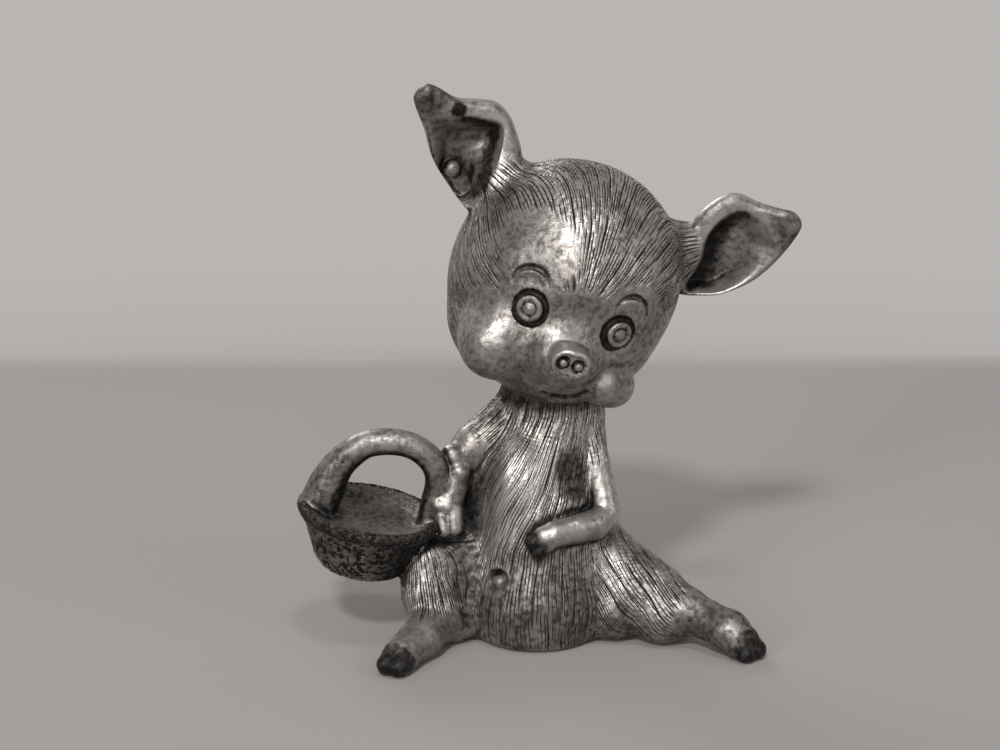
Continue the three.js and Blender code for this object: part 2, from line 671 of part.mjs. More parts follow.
// Two toes side by side at the end of a foot.
function toes(toe, angle, grow) {
  const aside = level(angle + 90);
  const onward = level(angle);
  return [-1, 1].map((side) => {
    const start = toe.clone().addScaledVector(aside, side * TOE_SPREAD);
    const end = start.clone().addScaledVector(onward, FOOT_RADIUS);
    end.z = HOOF_RADIUS - SOLE_DEPTH;
    return bone(start, FOOT_RADIUS - TOE_SPREAD / 2, end, HOOF_RADIUS, grow);
  });
}

function leftLegLumps(grow = 0) {
  return [
    bone(leftHip, LEFT_THIGH_RADIUS, leftAnkle, LEFT_ANKLE_RADIUS, grow),
    bone(leftCalf, CALF_RADIUS, leftShin, CALF_RADIUS, grow),
    bone(leftAnkle, LEFT_ANKLE_RADIUS, leftToe, FOOT_RADIUS, grow),
    ...toes(leftToe, LEFT_FOOT_ANGLE, grow),
  ];
}

function rightLegLumps(grow = 0) {
  return [
    bone(rightHip, RIGHT_THIGH_RADIUS, rightKnee, RIGHT_KNEE_RADIUS, grow),
    bone(rightKnee, RIGHT_KNEE_RADIUS, rightAnkle, RIGHT_ANKLE_RADIUS, grow),
    bone(rightCalf, CALF_RADIUS, rightHeel, HEEL_RADIUS, grow),
    bone(rightAnkle, RIGHT_ANKLE_RADIUS, rightToe, FOOT_RADIUS, grow),
    ...toes(rightToe, RIGHT_FOOT_ANGLE, grow),
  ];
}

const leftHipPeg = (grow) => skinPeg(HIP_HEIGHT, LEFT_HIP_ANGLE, LIMB_PEG_RADIUS, grow);
const rightHipPeg = (grow) => skinPeg(HIP_HEIGHT, -RIGHT_HIP_ANGLE, LIMB_PEG_RADIUS, grow);

// Tail

function tailCurl() {
  const points = [];
  for (let i = 0; i <= TAIL_STEPS; i++) {
    const share = i / TAIL_STEPS;
    const turn = 2 * Math.PI * TAIL_TURNS * share;
    const curl = TAIL_CURL_RADIUS * (1 - 0.45 * share);
    const root = torsoPoint(TAIL_HEIGHT, 180, TAIL_STANDOFF * (2 * share - 0.55));
    points.push(root.add(at(curl * Math.sin(turn), 0, TAIL_CURL_RADIUS - curl * Math.cos(turn))));
  }
  return tube(new THREE.CatmullRomCurve3(points), TAIL_RADIUS, 8, 2 * TAIL_STEPS);
}

const tailPeg = (grow) => skinPeg(TAIL_HEIGHT, 180, SMALL_PEG_RADIUS, grow);

// Basket, in its own frame: the rim's top face is at z = 0

const basketGroup = new THREE.Group();
basketGroup.position.copy(rightKnee).add(at(-BASKET_OUT, BASKET_BACK, BASKET_RISE));
basketGroup.quaternion
  .setFromAxisAngle(ALONG, radians(BASKET_ROLL))
  .multiply(new THREE.Quaternion().setFromAxisAngle(at(1, 0, 0), radians(BASKET_PITCH)));
basketGroup.updateMatrix();
const intoBasket = basketGroup.matrix.clone().invert();

function bowl() {
  const wall = BASKET_RIM_RADIUS - BASKET_LIP_OVERHANG;
  const corner = (BASKET_HEIGHT - BASKET_LIP) / 3;
  const side = new THREE.QuadraticBezierCurve(
    new THREE.Vector2(BASKET_BASE_RADIUS - corner, -BASKET_HEIGHT),
    new THREE.Vector2(BASKET_BASE_RADIUS + corner / 2, -BASKET_HEIGHT),
    new THREE.Vector2(wall, -BASKET_LIP),
  );
  const dish = new THREE.QuadraticBezierCurve(
    new THREE.Vector2(BASKET_RIM_RADIUS - BASKET_RIM_WIDTH, 0),
    new THREE.Vector2((BASKET_RIM_RADIUS - BASKET_RIM_WIDTH) * 0.75, -BASKET_DISH),
    new THREE.Vector2(0, -BASKET_DISH),
  );
  const profile = [
    new THREE.Vector2(0, -BASKET_HEIGHT),
    ...side.getPoints(6),
    new THREE.Vector2(BASKET_RIM_RADIUS, -BASKET_LIP * 0.75),
    new THREE.Vector2(BASKET_RIM_RADIUS, -BASKET_LIP * 0.25),
    new THREE.Vector2(BASKET_RIM_RADIUS - BASKET_LIP * 0.25, 0),
    ...dish.getPoints(5),
  ];
  return new THREE.LatheGeometry(profile, BOWL_SIDES).rotateX(Math.PI / 2);
}

function handleArch() {
  const top = HANDLE_HEIGHT - HANDLE_RADIUS - SOLDER_GAP;
  const points = HANDLE_BEND.map(([x, z]) => at(x * HANDLE_HALF_SPAN, 0, SOLDER_GAP + z * top));
  return tube(new THREE.CatmullRomCurve3(points), HANDLE_RADIUS, HANDLE_SIDES, HANDLE_STEPS);
}

function handlePegs(grow) {
  return [HANDLE_BEND[0], HANDLE_BEND[HANDLE_BEND.length - 1]].map(([x]) => {
    const foot = at(x * HANDLE_HALF_SPAN, 0, HANDLE_RADIUS);
    return peg(foot, at(foot.x, foot.y, -PEG_DEPTH), SMALL_PEG_RADIUS, grow);
  });
}

// The bowl's peg goes into the knee that carries it.
function bowlPeg(grow) {
  const bowlMiddle = at(0, 0, -BASKET_HEIGHT / 2).applyMatrix4(basketGroup.matrix);
  const inward = rightKnee.clone().sub(bowlMiddle).normalize();
  const end = rightKnee.clone().addScaledVector(inward, PEG_DEPTH - RIGHT_KNEE_RADIUS);
  return peg(bowlMiddle, end, LIMB_PEG_RADIUS, grow);
}

// Castings, each cut back from those before it

const floor = solidOf(
  new THREE.BoxGeometry(FLOOR_SIZE, FLOOR_SIZE, FLOOR_DEPTH).translate(0, 0, -FLOOR_DEPTH / 2),
);
const headAround = fused(headLumps(SOLDER_GAP), headGroup.matrix);
const torsoAround = fused(torsoLumps(SOLDER_GAP));
const leftLegAround = fused(leftLegLumps(SOLDER_GAP));
const rightLegAround = fused(rightLegLumps(SOLDER_GAP));
const leftArmAround = fused(armBones(leftArmJoints, SOLDER_GAP));
const rightArmAround = fused(armBones(rightArmJoints, SOLDER_GAP));
const ears = {
  left_ear: ear(1, LEFT_EAR),
  right_ear: ear(-1, RIGHT_EAR),
};

const navelAt = torsoPoint(NAVEL_HEIGHT, NAVEL_ANGLE);
const navelOut = navelAt.clone().sub(at(torsoLean(NAVEL_HEIGHT), 0, NAVEL_HEIGHT)).normalize();

const torso = cutBack(
  fused(torsoLumps()),
  floor,
  headAround,
  solidOf(ringGroove(navelAt, navelOut, NAVEL_RADIUS, NAVEL_GROOVE)),
  fused([
    leftElbowPeg(SOLDER_GAP),
    rightShoulderPeg(SOLDER_GAP),
    leftHipPeg(SOLDER_GAP),
    rightHipPeg(SOLDER_GAP),
    tailPeg(SOLDER_GAP),
  ]),
).add(solidOf(neckPeg(0)));

const head = cutBack(
  fused([...headLumps(), snout()]),
  fused([...eyeGrooves(-1), ...eyeGrooves(1), mouthGroove(), nostrilGroove(-1), nostrilGroove(1)]),
  fused([neckPeg(SOLDER_GAP)], intoHead),
  fused(Object.values(ears).map((made) => made.earPeg(SOLDER_GAP))),
);

const earSolids = Object.entries(ears).map(([name, made]) => {
  const cupped = cutBack(fused(made.lumps), fused(headLumps(SOLDER_GAP)));
  return [name, cupped.add(solidOf(made.earPeg(0)))];
});

const leftLeg = cutBack(fused(leftLegLumps()), torsoAround, floor).add(solidOf(leftHipPeg(0)));
const rightLeg = cutBack(fused(rightLegLumps()), torsoAround, floor)
  .add(solidOf(rightHipPeg(0)))
  .subtract(solidOf(bowlPeg(SOLDER_GAP)));

const leftArm = cutBack(fused(armBones(leftArmJoints)), torsoAround, headAround, leftLegAround).add(
  solidOf(leftElbowPeg(0)),
);
const rightArm = cutBack(fused(armBones(rightArmJoints)), torsoAround, headAround, rightLegAround).add(
  solidOf(rightShoulderPeg(0)),
);

const tail = cutBack(solidOf(tailCurl()), torsoAround).add(solidOf(tailPeg(0)));

const bowlSolid = cutBack(
  solidOf(bowl()),
  fused(rightLegLumps(SOLDER_GAP), intoBasket),
  fused(armBones(rightArmJoints, SOLDER_GAP), intoBasket),
  fused(torsoLumps(SOLDER_GAP), intoBasket),
  fused(handlePegs(SOLDER_GAP)),
).add(fused([bowlPeg(0)], intoBasket));

const handleSolid = cutBack(
  fused([handleArch(), ...handlePegs(0)]),
  fused(rightLegLumps(SOLDER_GAP), intoBasket),
  fused(armBones(rightArmJoints, SOLDER_GAP), intoBasket),
);

// Materials and the finished group

const pewter = new THREE.MeshStandardMaterial({ color: 0x8a837c, roughness: 0.38, metalness: 1 });
const darkPewter = new THREE.MeshStandardMaterial({ color: 0x6b645e, roughness: 0.5, metalness: 1 });

function casting(name, solid, material) {
  const mesh = new THREE.Mesh(geometryOf(solid), material);
  mesh.name = name;
  return mesh;
}

const figurine = new THREE.Group();
const standing = new THREE.Group();
figurine.add(standing);
standing.add(
  casting("torso", torso, pewter),
  casting("left_arm", leftArm, pewter),
  casting("right_arm", rightArm, pewter),
  casting("left_leg", leftLeg, pewter),
  casting("right_leg", rightLeg, pewter),
  casting("tail", tail, pewter),
  headGroup,
  basketGroup,
);
headGroup.add(casting("head", head, pewter));
earSolids.forEach(([name, solid]) => headGroup.add(casting(name, solid, pewter)));
basketGroup.add(casting("basket_bowl", bowlSolid, darkPewter), casting("basket_handle", handleSolid, pewter));

// The origin is at the middle of the whole figure's footprint, on the surface that it stands on.
figurine.updateMatrixWorld(true);
const extent = new THREE.Box3().setFromObject(figurine, true);
const middle = extent.getCenter(new THREE.Vector3());
standing.position.set(-middle.x, -middle.y, -extent.min.z);

export default figurine;
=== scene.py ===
"""A seated pewter piglet with a basket: sculpted castings, engraved hair and antiqued metal in a plain studio.

Every casting is sculpted as a signed distance field in millimetres, in a frame whose origin is under the torso's
axis, and cast into a closed mesh. Geometry Nodes engrave the hair and pit the basket, and one patina finish
darkens what lies deep, paints shade into nooks and under parts, and brightens what the hand has rubbed, with
painted highlights.
"""

import logging
import math
from collections.abc import Callable, Sequence
from dataclasses import dataclass, field
from enum import Enum
from functools import partial

import bpy
import numpy as np
import openvdb
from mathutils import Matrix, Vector


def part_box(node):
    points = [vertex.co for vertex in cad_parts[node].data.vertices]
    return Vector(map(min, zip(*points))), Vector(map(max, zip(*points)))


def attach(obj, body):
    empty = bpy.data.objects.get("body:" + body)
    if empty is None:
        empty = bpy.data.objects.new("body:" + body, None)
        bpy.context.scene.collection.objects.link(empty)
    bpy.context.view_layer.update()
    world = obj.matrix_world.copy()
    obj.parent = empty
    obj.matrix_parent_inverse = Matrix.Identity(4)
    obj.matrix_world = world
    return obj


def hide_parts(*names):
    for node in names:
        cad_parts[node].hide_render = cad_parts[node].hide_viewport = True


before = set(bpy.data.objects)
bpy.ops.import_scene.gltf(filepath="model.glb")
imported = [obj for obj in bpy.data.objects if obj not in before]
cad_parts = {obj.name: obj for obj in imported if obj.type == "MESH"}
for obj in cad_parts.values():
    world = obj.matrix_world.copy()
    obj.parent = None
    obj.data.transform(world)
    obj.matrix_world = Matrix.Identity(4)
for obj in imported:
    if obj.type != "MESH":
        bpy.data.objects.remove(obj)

logging.basicConfig(level=logging.INFO, format="%(message)s")
log = logging.getLogger("piglet")

Array = np.ndarray
Field = Callable[[Array], Array]
Point = tuple[float, float, float]
Flat = tuple[float, float]
Bone = tuple[float, float, float, float]
Mound = tuple[Point, Point | float, float]
Colour = tuple[float, float, float]
MM = 0.001
FAR = 40.0
TINY = 1e-6
FULL_TURN = 2.0 * math.pi


class Slot(Enum):
    """Material slots of the castings."""

    PEWTER = "pewter"
    ROUGH = "pewter_rough"


class Side(Enum):
    """The piglet's own sides, as the sign of x."""

    LEFT = 1.0
    RIGHT = -1.0


# Sculpting


def blend_min(a: Array, b: Array, blend: float) -> Array:
    """Join two distances with a fillet.

    Args:
        a: Distances to the first solid.
        b: Distances to the second solid.
        blend: Size of the fillet in millimetres.

    Returns:
        Distances to the joined solid.
    """
    near = np.maximum(blend - np.abs(a - b), 0.0)
    return np.minimum(a, b) - near * near / (4.0 * blend)


def blend_max(a: Array, b: Array, blend: float) -> Array:
    """Keep what two distances share, with a rounded edge.

    Args:
        a: Distances to the first solid.
        b: Distances to the second solid.
        blend: Size of the rounding in millimetres.

    Returns:
        Distances to the shared solid.
    """
    return -blend_min(-a, -b, blend)


def step(low: float, high: float, value: Array) -> Array:
    """Rise smoothly from 0 at low to 1 at high.

    Args:
        low: Value that gives 0.
        high: Value that gives 1. It may lie below low.
        value: Values to map.

    Returns:
        Smooth values between 0 and 1.
    """
    share = np.clip((value - low) / (high - low), 0.0, 1.0)
    return share * share * (3.0 - 2.0 * share)


def turned(roll: float, yaw: float, pitch: float = 0.0) -> Array:
    """Make a rotation from a roll about Y, then a yaw about Z, then a pitch about X, in degrees.

    Args:
        roll: Turn about +Y.
        yaw: Turn about +Z.
        pitch: Turn about +X.

    Returns:
        The three by three rotation.
    """
    r, y, p = (math.radians(v) for v in (roll, yaw, pitch))
    about_y = np.array([[math.cos(r), 0, math.sin(r)], [0, 1, 0], [-math.sin(r), 0, math.cos(r)]])
    about_z = np.array([[math.cos(y), -math.sin(y), 0], [math.sin(y), math.cos(y), 0], [0, 0, 1]])
    about_x = np.array([[1, 0, 0], [0, math.cos(p), -math.sin(p)], [0, math.sin(p), math.cos(p)]])
    return about_y @ about_z @ about_x


def unit(direction: Sequence[float]) -> Array:
    """Scale a direction to a length of 1."""
    return np.asarray(direction, float) / np.linalg.norm(direction)


def chart(directions: Array) -> Array:
    """Lay unit directions out on a plane, as complex numbers round the upward one."""
    return (directions[..., 0] + 1j * directions[..., 1]) / (1.0 + directions[..., 2] + 1e-4)


@dataclass(frozen=True)
class Pose:
    """A place and a turn of a sub-assembly in the torso's frame."""

    origin: Point
    turn: Array

    def local(self, points: Array) -> Array:
        """Carry points into this frame.

        Args:
            points: Points in the torso's frame.

        Returns:
            The same points in this frame.
        """
        return (points - np.asarray(self.origin, np.float32)) @ self.turn.astype(np.float32)


@dataclass(frozen=True)
class Clay:
    """A solid given by signed distances in millimetres, negative inside."""

    distance: Field

    def joined(self, other: "Clay", blend: float) -> "Clay":
        """Add another solid with a fillet of the given size."""
        return Clay(lambda p: blend_min(self.distance(p), other.distance(p), blend))

    def carved(self, other: "Clay", blend: float) -> "Clay":
        """Take another solid away and round the edge by the given size."""
        return Clay(lambda p: blend_max(self.distance(p), -other.distance(p), blend))

    def kept(self, other: "Clay", blend: float) -> "Clay":
        """Keep only what lies in the other solid and round the edge by the given size."""
        return Clay(lambda p: blend_max(self.distance(p), other.distance(p), blend))

    def swollen(self, mound: Mound) -> "Clay":
        """Add a mound, given by its middle, half axes and fillet."""
        return self.joined(ball(*mound[:2]), mound[2])

    def dented(self, mound: Mound) -> "Clay":
        """Press a mound into the solid, given by its middle, half axes and fillet."""
        return self.carved(ball(*mound[:2]), mound[2])

    def placed(self, pose: Pose) -> "Clay":
        """Move the solid out of a sub-assembly's frame."""
        return Clay(lambda p: self.distance(pose.local(p)))


def ball(centre: Point, radii: Point | float) -> Clay:
    """Shape an ellipsoid.

    Args:
        centre: Its middle.
        radii: Its three half axes, or one radius.

    Returns:
        The solid.
    """
    middle = np.asarray(centre, np.float32)
    if isinstance(radii, (int, float)):
        return Clay(lambda p: np.linalg.norm(p - middle, axis=1) - np.float32(radii))
    sizes = np.asarray(radii, np.float32)

    def distance(p: Array) -> Array:
        """Measure how far points lie from the ellipsoid.

        Args:
            p: Points in the solid's frame.

        Returns:
            Distances, negative inside.
        """
        share = (p - middle) / sizes
        reach = np.linalg.norm(share, axis=1)
        slope = np.linalg.norm(share / sizes, axis=1)
        return reach * (reach - 1.0) / np.maximum(slope, TINY)

    return Clay(distance)


def limb(joints: Sequence[Bone], blend: float = 0.3) -> Clay:
    """Shape a chain of tapered bones with round ends.

    Args:
        joints: Each joint's x, y, z and radius.
        blend: Fillet between one bone and the next.

    Returns:
        The solid.
    """
    table = np.asarray(joints, np.float32)

    def distance(p: Array) -> Array:
        """Measure how far points lie from the chain.

        Args:
            p: Points in the solid's frame.

        Returns:
            Distances, negative inside.
        """
        whole = None
        for low, high in zip(table[:-1], table[1:]):
            line = high[:3] - low[:3]
            away = p - low[:3]
            share = np.clip(away @ line / (line @ line), 0.0, 1.0)
            reach = np.linalg.norm(away - share[:, None] * line, axis=1)
            bone = reach - (low[3] + share * (high[3] - low[3]))
            whole = bone if whole is None else blend_min(whole, bone, blend)
        return whole

    return Clay(distance)


def ring(centre: Point, axis: Point, radius: float, tube: float) -> Clay:
    """Shape a torus.

    Args:
        centre: Its middle.
        axis: Direction through its hole.
        radius: Radius of its centre line.
        tube: Radius of its section.

    Returns:
        The solid.
    """
    middle = np.asarray(centre, np.float32)
    through = np.asarray(axis, np.float32) / np.float32(np.linalg.norm(axis))

    def distance(p: Array) -> Array:
        """Measure how far points lie from the torus.

        Args:
            p: Points in the solid's frame.

        Returns:
            Distances, negative inside.
        """
        away = p - middle
        height = away @ through
        flat = np.linalg.norm(away - height[:, None] * through, axis=1)
        return np.hypot(flat - radius, height) - tube

    return Clay(distance)


def disc(centre: Point, axis: Point, radius: float, half: float, edge: float) -> Clay:
    """Shape a round disc with soft edges.

    Args:
        centre: Its middle.
        axis: Direction square to its face.
        radius: Its radius.
        half: Half of its thickness.
        edge: Radius of its rounded edge.

    Returns:
        The solid.
    """
    middle = np.asarray(centre, np.float32)
    through = np.asarray(axis, np.float32) / np.float32(np.linalg.norm(axis))

    def distance(p: Array) -> Array:
        """Measure how far points lie from the disc.

        Args:
            p: Points in the solid's frame.

        Returns:
            Distances, negative inside.
        """
        away = p - middle
        height = np.abs(away @ through)
        flat = np.sqrt(np.maximum((away * away).sum(1) - height * height, 0.0))
        over = np.stack([flat - radius + edge, height - half + edge], axis=1)
        return np.linalg.norm(np.maximum(over, 0.0), axis=1) + np.minimum(over.max(1), 0.0) - edge

    return Clay(distance)


def outline_distance(x: Array, y: Array, corners: Array) -> Array:
    """Measure the signed distance to a closed outline in a plane.

    Args:
        x: First coordinates of the points.
        y: Second coordinates of the points.
        corners: Corners of the outline, in order.

    Returns:
        Distances, negative inside.
    """
    nearest = np.full(x.shape, 1e6, np.float32)
    inside = np.zeros(x.shape, bool)
    for (ax, ay), (bx, by) in zip(corners, np.roll(corners, -1, axis=0)):
        ex, ey = bx - ax, by - ay
        if ex == 0.0 and ey == 0.0:
            continue
        share = np.clip(((x - ax) * ex + (y - ay) * ey) / (ex * ex + ey * ey), 0.0, 1.0)
        nearest = np.minimum(nearest, (x - ax - share * ex) ** 2 + (y - ay - share * ey) ** 2)
        if ay != by:
            crosses = (ay > y) != (by > y)
            inside ^= crosses & (x < ax + (y - ay) * ex / (by - ay))
    far = np.sqrt(nearest)
    return np.where(inside, -far, far)


def rounded_outline(corners: Sequence[Flat | Bone], steps: int = 5, closed: bool = True) -> Array:
    """Run a smooth curve through corners.

    Args:
        corners: Points on the curve, in order.
        steps: Pieces between one corner and the next.
        closed: Whether the curve returns to its first corner.

    Returns:
        The curve's points.
    """
    table = np.asarray(corners, float)
    count = len(table)
    spans = count if closed else count - 1
    points = []
    for i in range(spans):
        pick = [(i + k) % count if closed else min(max(i + k, 0), count - 1) for k in (-1, 0, 1, 2)]
        a, b, c, d = table[pick]
        for t in np.arange(steps) / steps:
            points.append(
                0.5 * (2 * b + (c - a) * t + (2 * a - 5 * b + 4 * c - d) * t**2 + (3 * b - a - 3 * c + d) * t**3)
            )
    if not closed:
        points.append(table[-1])
    return np.asarray(points, np.float32)


@dataclass
class PlaneTable:
    """Distances to a closed outline, tabled once and then looked up."""

    corners: Array
    margin: float = 3.0
    cell: float = 0.06

    def __post_init__(self) -> None:
        """Fill the table."""
        self.low = self.corners.min(0) - self.margin
        counts = np.ceil((self.corners.max(0) + self.margin - self.low) / self.cell).astype(int) + 1
        x, y = (self.low[k] + self.cell * np.arange(counts[k]) for k in range(2))
        grid = np.stack(np.meshgrid(x, y, indexing="ij"), -1).reshape(-1, 2).astype(np.float32)
        self.table = outline_distance(grid[:, 0], grid[:, 1], self.corners).reshape(counts).astype(np.float32)

    def look(self, x: Array, y: Array) -> Array:
        """Look up distances.

        Args:
            x: First coordinates.
            y: Second coordinates.

        Returns:
            Distances, negative inside.
        """
        rows, columns = self.table.shape
        u, v = (x - self.low[0]) / self.cell, (y - self.low[1]) / self.cell
        cu, cv = np.clip(u, 0.0, rows - 1.001), np.clip(v, 0.0, columns - 1.001)
        i, j = cu.astype(np.int32), cv.astype(np.int32)
        a, b = cu - i, cv - j
        t = self.table
        near = (t[i, j] * (1 - b) + t[i, j + 1] * b) * (1 - a) + (t[i + 1, j] * (1 - b) + t[i + 1, j + 1] * b) * a
        return near + np.hypot(u - cu, v - cv) * self.cell


def on_front(clay: Clay, places: Sequence[Flat], rise: float = 0.0) -> list[Point]:
    """Find points of a clay's front.

    Args:
        clay: What is sculpted so far.
        places: The points' x and z.
        rise: How far the points stand out from the skin.

    Returns:
        The points.
    """
    ahead, tries, stride = -15.0, 30, 0.8
    spots = np.asarray([(x, ahead, z) for x, z in places], np.float32)
    for _ in range(tries):
        spots[:, 1] += stride * clay.distance(spots)
    spots[:, 1] -= rise
    return [tuple(float(v) for v in spot) for spot in spots]


def lathe(profile: Sequence[Flat]) -> Clay:
    """Turn a closed profile about the z axis.

    Args:
        profile: Corners as radius and height.

    Returns:
        The solid.
    """
    mirrored = list(profile) + [(-r, z) for r, z in reversed(profile)]
    table = PlaneTable(np.asarray(mirrored, np.float32))
    return Clay(lambda p: table.look(np.hypot(p[:, 0], p[:, 1]), p[:, 2]))


FLOOR = Clay(lambda p: -p[:, 2])


# Hair

SWAY_WAVES: tuple[Bone, ...] = (
    (0.9, 0.3, 0.5, 0.3), (-0.4, 1.0, 0.4, 1.7), (0.6, -0.7, 1.0, 4.1),
    (0.2, 0.3, -0.3, 2.2), (1.5, 1.2, -1.3, 5.0),
)


@dataclass
class Flow:
    """How engraved hair runs over a casting.

    Lines of hair lie where the turns are whole, and between those where the lines would lie too far apart.
    """

    turns: Array
    pitch: Array
    along: Array
    amount: Array
    # Dark share: patina, and painted shade in nooks and under parts.
    patina_and_shade: Array | float = 0.0
    # Light share: rubbed wear, and painted highlights.
    wear_and_highlight: Array | float = 0.0

    @classmethod
    def even(cls, count: int, amount: float) -> "Flow":
        """Make a flow without lines.

        Args:
            count: Number of points.
            amount: How much of the skin's texture shows.

        Returns:
            The flow.
        """
        none = np.zeros(count)
        return cls(none, none + 1.0, none, none + amount)


def wandering(points: Array) -> Array:
    """Give a smooth random sway with waves some millimetres long, between -1 and 1."""
    return sum(np.sin(points @ np.asarray(wave[:3]) + wave[3]) for wave in SWAY_WAVES) / len(SWAY_WAVES)


def mottled(points: Array) -> Array:
    """Give a smooth random sway between 0 and 1."""
    return 0.5 + 0.5 * wandering(points)


def round_axis(points: Array, start: Point, end: Point, count: int, twist: float) -> Flow:
    """Run hair along a limb, with a slow twist about it.

    Args:
        points: Points on the limb.
        start: Where the limb begins.
        end: Where the limb ends.
        count: Turns round the limb.
        twist: Turns that the hair shifts by in each millimetre.

    Returns:
        The flow, with hair everywhere.
    """
    line = np.asarray(end, float) - np.asarray(start, float)
    line /= np.linalg.norm(line)
    aside = np.cross(line, (0.0, 0.0, 1.0))
    aside /= np.linalg.norm(aside)
    above = np.cross(aside, line)
    away = points - np.asarray(start)
    along = away @ line
    u, v = away @ aside, away @ above
    turns = np.arctan2(v, u) * count / FULL_TURN + along * twist
    pitch = FULL_TURN * np.hypot(u, v) / count
    return Flow(turns + 0.15 * wandering(points) / np.maximum(pitch, 0.2), pitch, along, np.ones(len(points)))


# Sub-assemblies


@dataclass
class Torso:
    """The pear-shaped body with a flat seat and a navel."""

    heights: tuple[float, ...] = (0.0, 1.2, 5.0, 10.0, 14.5, 18.5, 23.5)
    widths: tuple[float, ...] = (6.1, 6.8, 7.2, 6.8, 6.15, 5.3, 4.6)
    depths: tuple[float, ...] = (8.2, 8.5, 8.35, 7.6, 6.2, 4.8, 3.9)
    back_depths: tuple[float, ...] = (8.2, 8.5, 8.3, 7.4, 6.2, 5.1, 4.4)
    lean: float = 1.6
    navel: Flat = (-3.4, 6.4)
    navel_radius: float = 0.86
    strands: int = 88
    slant: float = 0.052
    haunch: Mound = ((0.05, -3.5, 2.6), (6.1, 6.4, 5.0), 2.0)
    flank: Mound = ((-4.5, -1.6, 13.4), (2.4, 2.6, 5.4), 1.6)
    breast: Mound = ((-1.6, -4.4, 13.8), (2.6, 2.4, 4.8), 1.5)
    nook: Mound = ((3.3, -7.0, 15.7), (1.5, 1.8, 2.7), 1.2)
    fold: Mound = ((3.0, -5.5, 13.1), (1.3, 1.0, 0.9), 0.8)

    def section(self, y: Array, z: Array) -> tuple[Array, Array]:
        """Give the half width and half depth of the body.

        Args:
            y: Places along the depth, negative in front.
            z: Heights.

        Returns:
            Half widths and half depths at those places.
        """
        sizes = []
        for row in (self.widths, self.depths, self.back_depths):
            table = rounded_outline(list(zip(self.heights, row)), 6, closed=False)
            sizes.append(np.interp(z, table[:, 0], table[:, 1]))
        return sizes[0], np.where(y < 0.0, sizes[1], sizes[2])

    def axis_x(self, z: Array) -> Array:
        """Give the sideways lean of the axis at each height."""
        return self.lean * (np.clip(z, 0.0, 24.0) / 22.5) ** 2

    def clay(self) -> Clay:
        """Sculpt the torso.

        Returns:
            The solid in the torso's frame.
        """

        def pear(p: Array) -> Array:
            """Measure how far points lie from the plain pear.

            Args:
                p: Points in the solid's frame.

            Returns:
                Distances, negative inside.
            """
            width, depth = self.section(p[:, 1], p[:, 2])
            x, y = p[:, 0] - self.axis_x(p[:, 2]), p[:, 1]
            reach = np.hypot(x / width, y / depth)
            slope = np.hypot(x / width**2, y / depth**2) / np.maximum(reach, TINY)
            side = (reach - 1.0) / np.maximum(slope, 1.0 / 9.0)
            return blend_max(side, p[:, 2] - self.heights[-1], 0.5).astype(np.float32)

        body = Clay(pear).swollen(self.haunch).kept(FLOOR, 0.6).swollen(self.flank).swollen(self.breast)
        body = body.dented(self.nook).swollen(self.fold)
        return body.carved(ball(on_front(body, [self.navel])[0], self.navel_radius), 0.08)

    def flow(self, p: Array) -> Flow:
        """Sweep the hair down from the neck, slanting over the chest.

        Args:
            p: Points on the torso.

        Returns:
            The flow, with patina and painted shade on the belly, painted shade in the nook, on the navel's upper rim
            and under the chin, and a rubbed chest with a painted highlight.
        """
        x, y, z = p[:, 0] - self.axis_x(p[:, 2]), p[:, 1], p[:, 2]
        angle = np.arctan2(x, -y)
        swept = angle + self.slant * np.clip(20.5 - z, 0.0, 11.5) * step(-1.6, -0.5, angle) * step(2.2, 1.0, angle)
        turns = swept * self.strands / FULL_TURN
        turns = turns + 0.5 * wandering(p) + 0.3 * np.sin(0.3 * z + 1.3 * np.sin(turns * 0.11))
        gap = np.hypot(p[:, 0] - self.navel[0], z - self.navel[1])
        amount = step(0.8, 1.3, gap) * step(0.1, 0.6, z) * (0.75 + 0.15 * step(7.0, 12.0, z))
        # belly: patina, and painted shade where the paunch curves under towards the floor
        belly = (0.48 + 0.2 * wandering(1.6 * p)) * step(11.0, 5.5, z + 0.7 * wandering(0.8 * p)) * step(6.0, -2.0, y)
        # brim: painted shade on the navel's upper rim
        brim = step(1.0, 0.8, gap) * step(-0.15, 0.35, z - self.navel[1] - 0.4 * (p[:, 0] - self.navel[0]))
        # nook: painted shade in the recess between chest and arm
        nook = 0.75 * step(1.25, 0.6, np.linalg.norm((p - (3.3, -5.6, 15.6)) / (1.7, 2.0, 2.9), axis=1))
        # rubbed chest: wear, and a painted highlight band
        chest = np.hypot((x + 2.6 - 0.3 * (z - 13.5)) / 2.6, (z - 13.5) / 5.2)
        wear_and_highlight = step(1.3, 0.5, chest) * step(-2.0, -4.0, y)
        amount = amount * (1.0 - 0.35 * wear_and_highlight)
        # neck: painted shade under the chin
        neck = 0.75 * step(20.2, 21.8, z + 0.3 * wandering(1.5 * p))
        patina_and_shade = np.maximum.reduce([belly, brim * step(-4.0, -5.0, y), nook, neck])
        return Flow(turns, FULL_TURN * np.hypot(x, y) / self.strands, z, amount, patina_and_shade, wear_and_highlight)


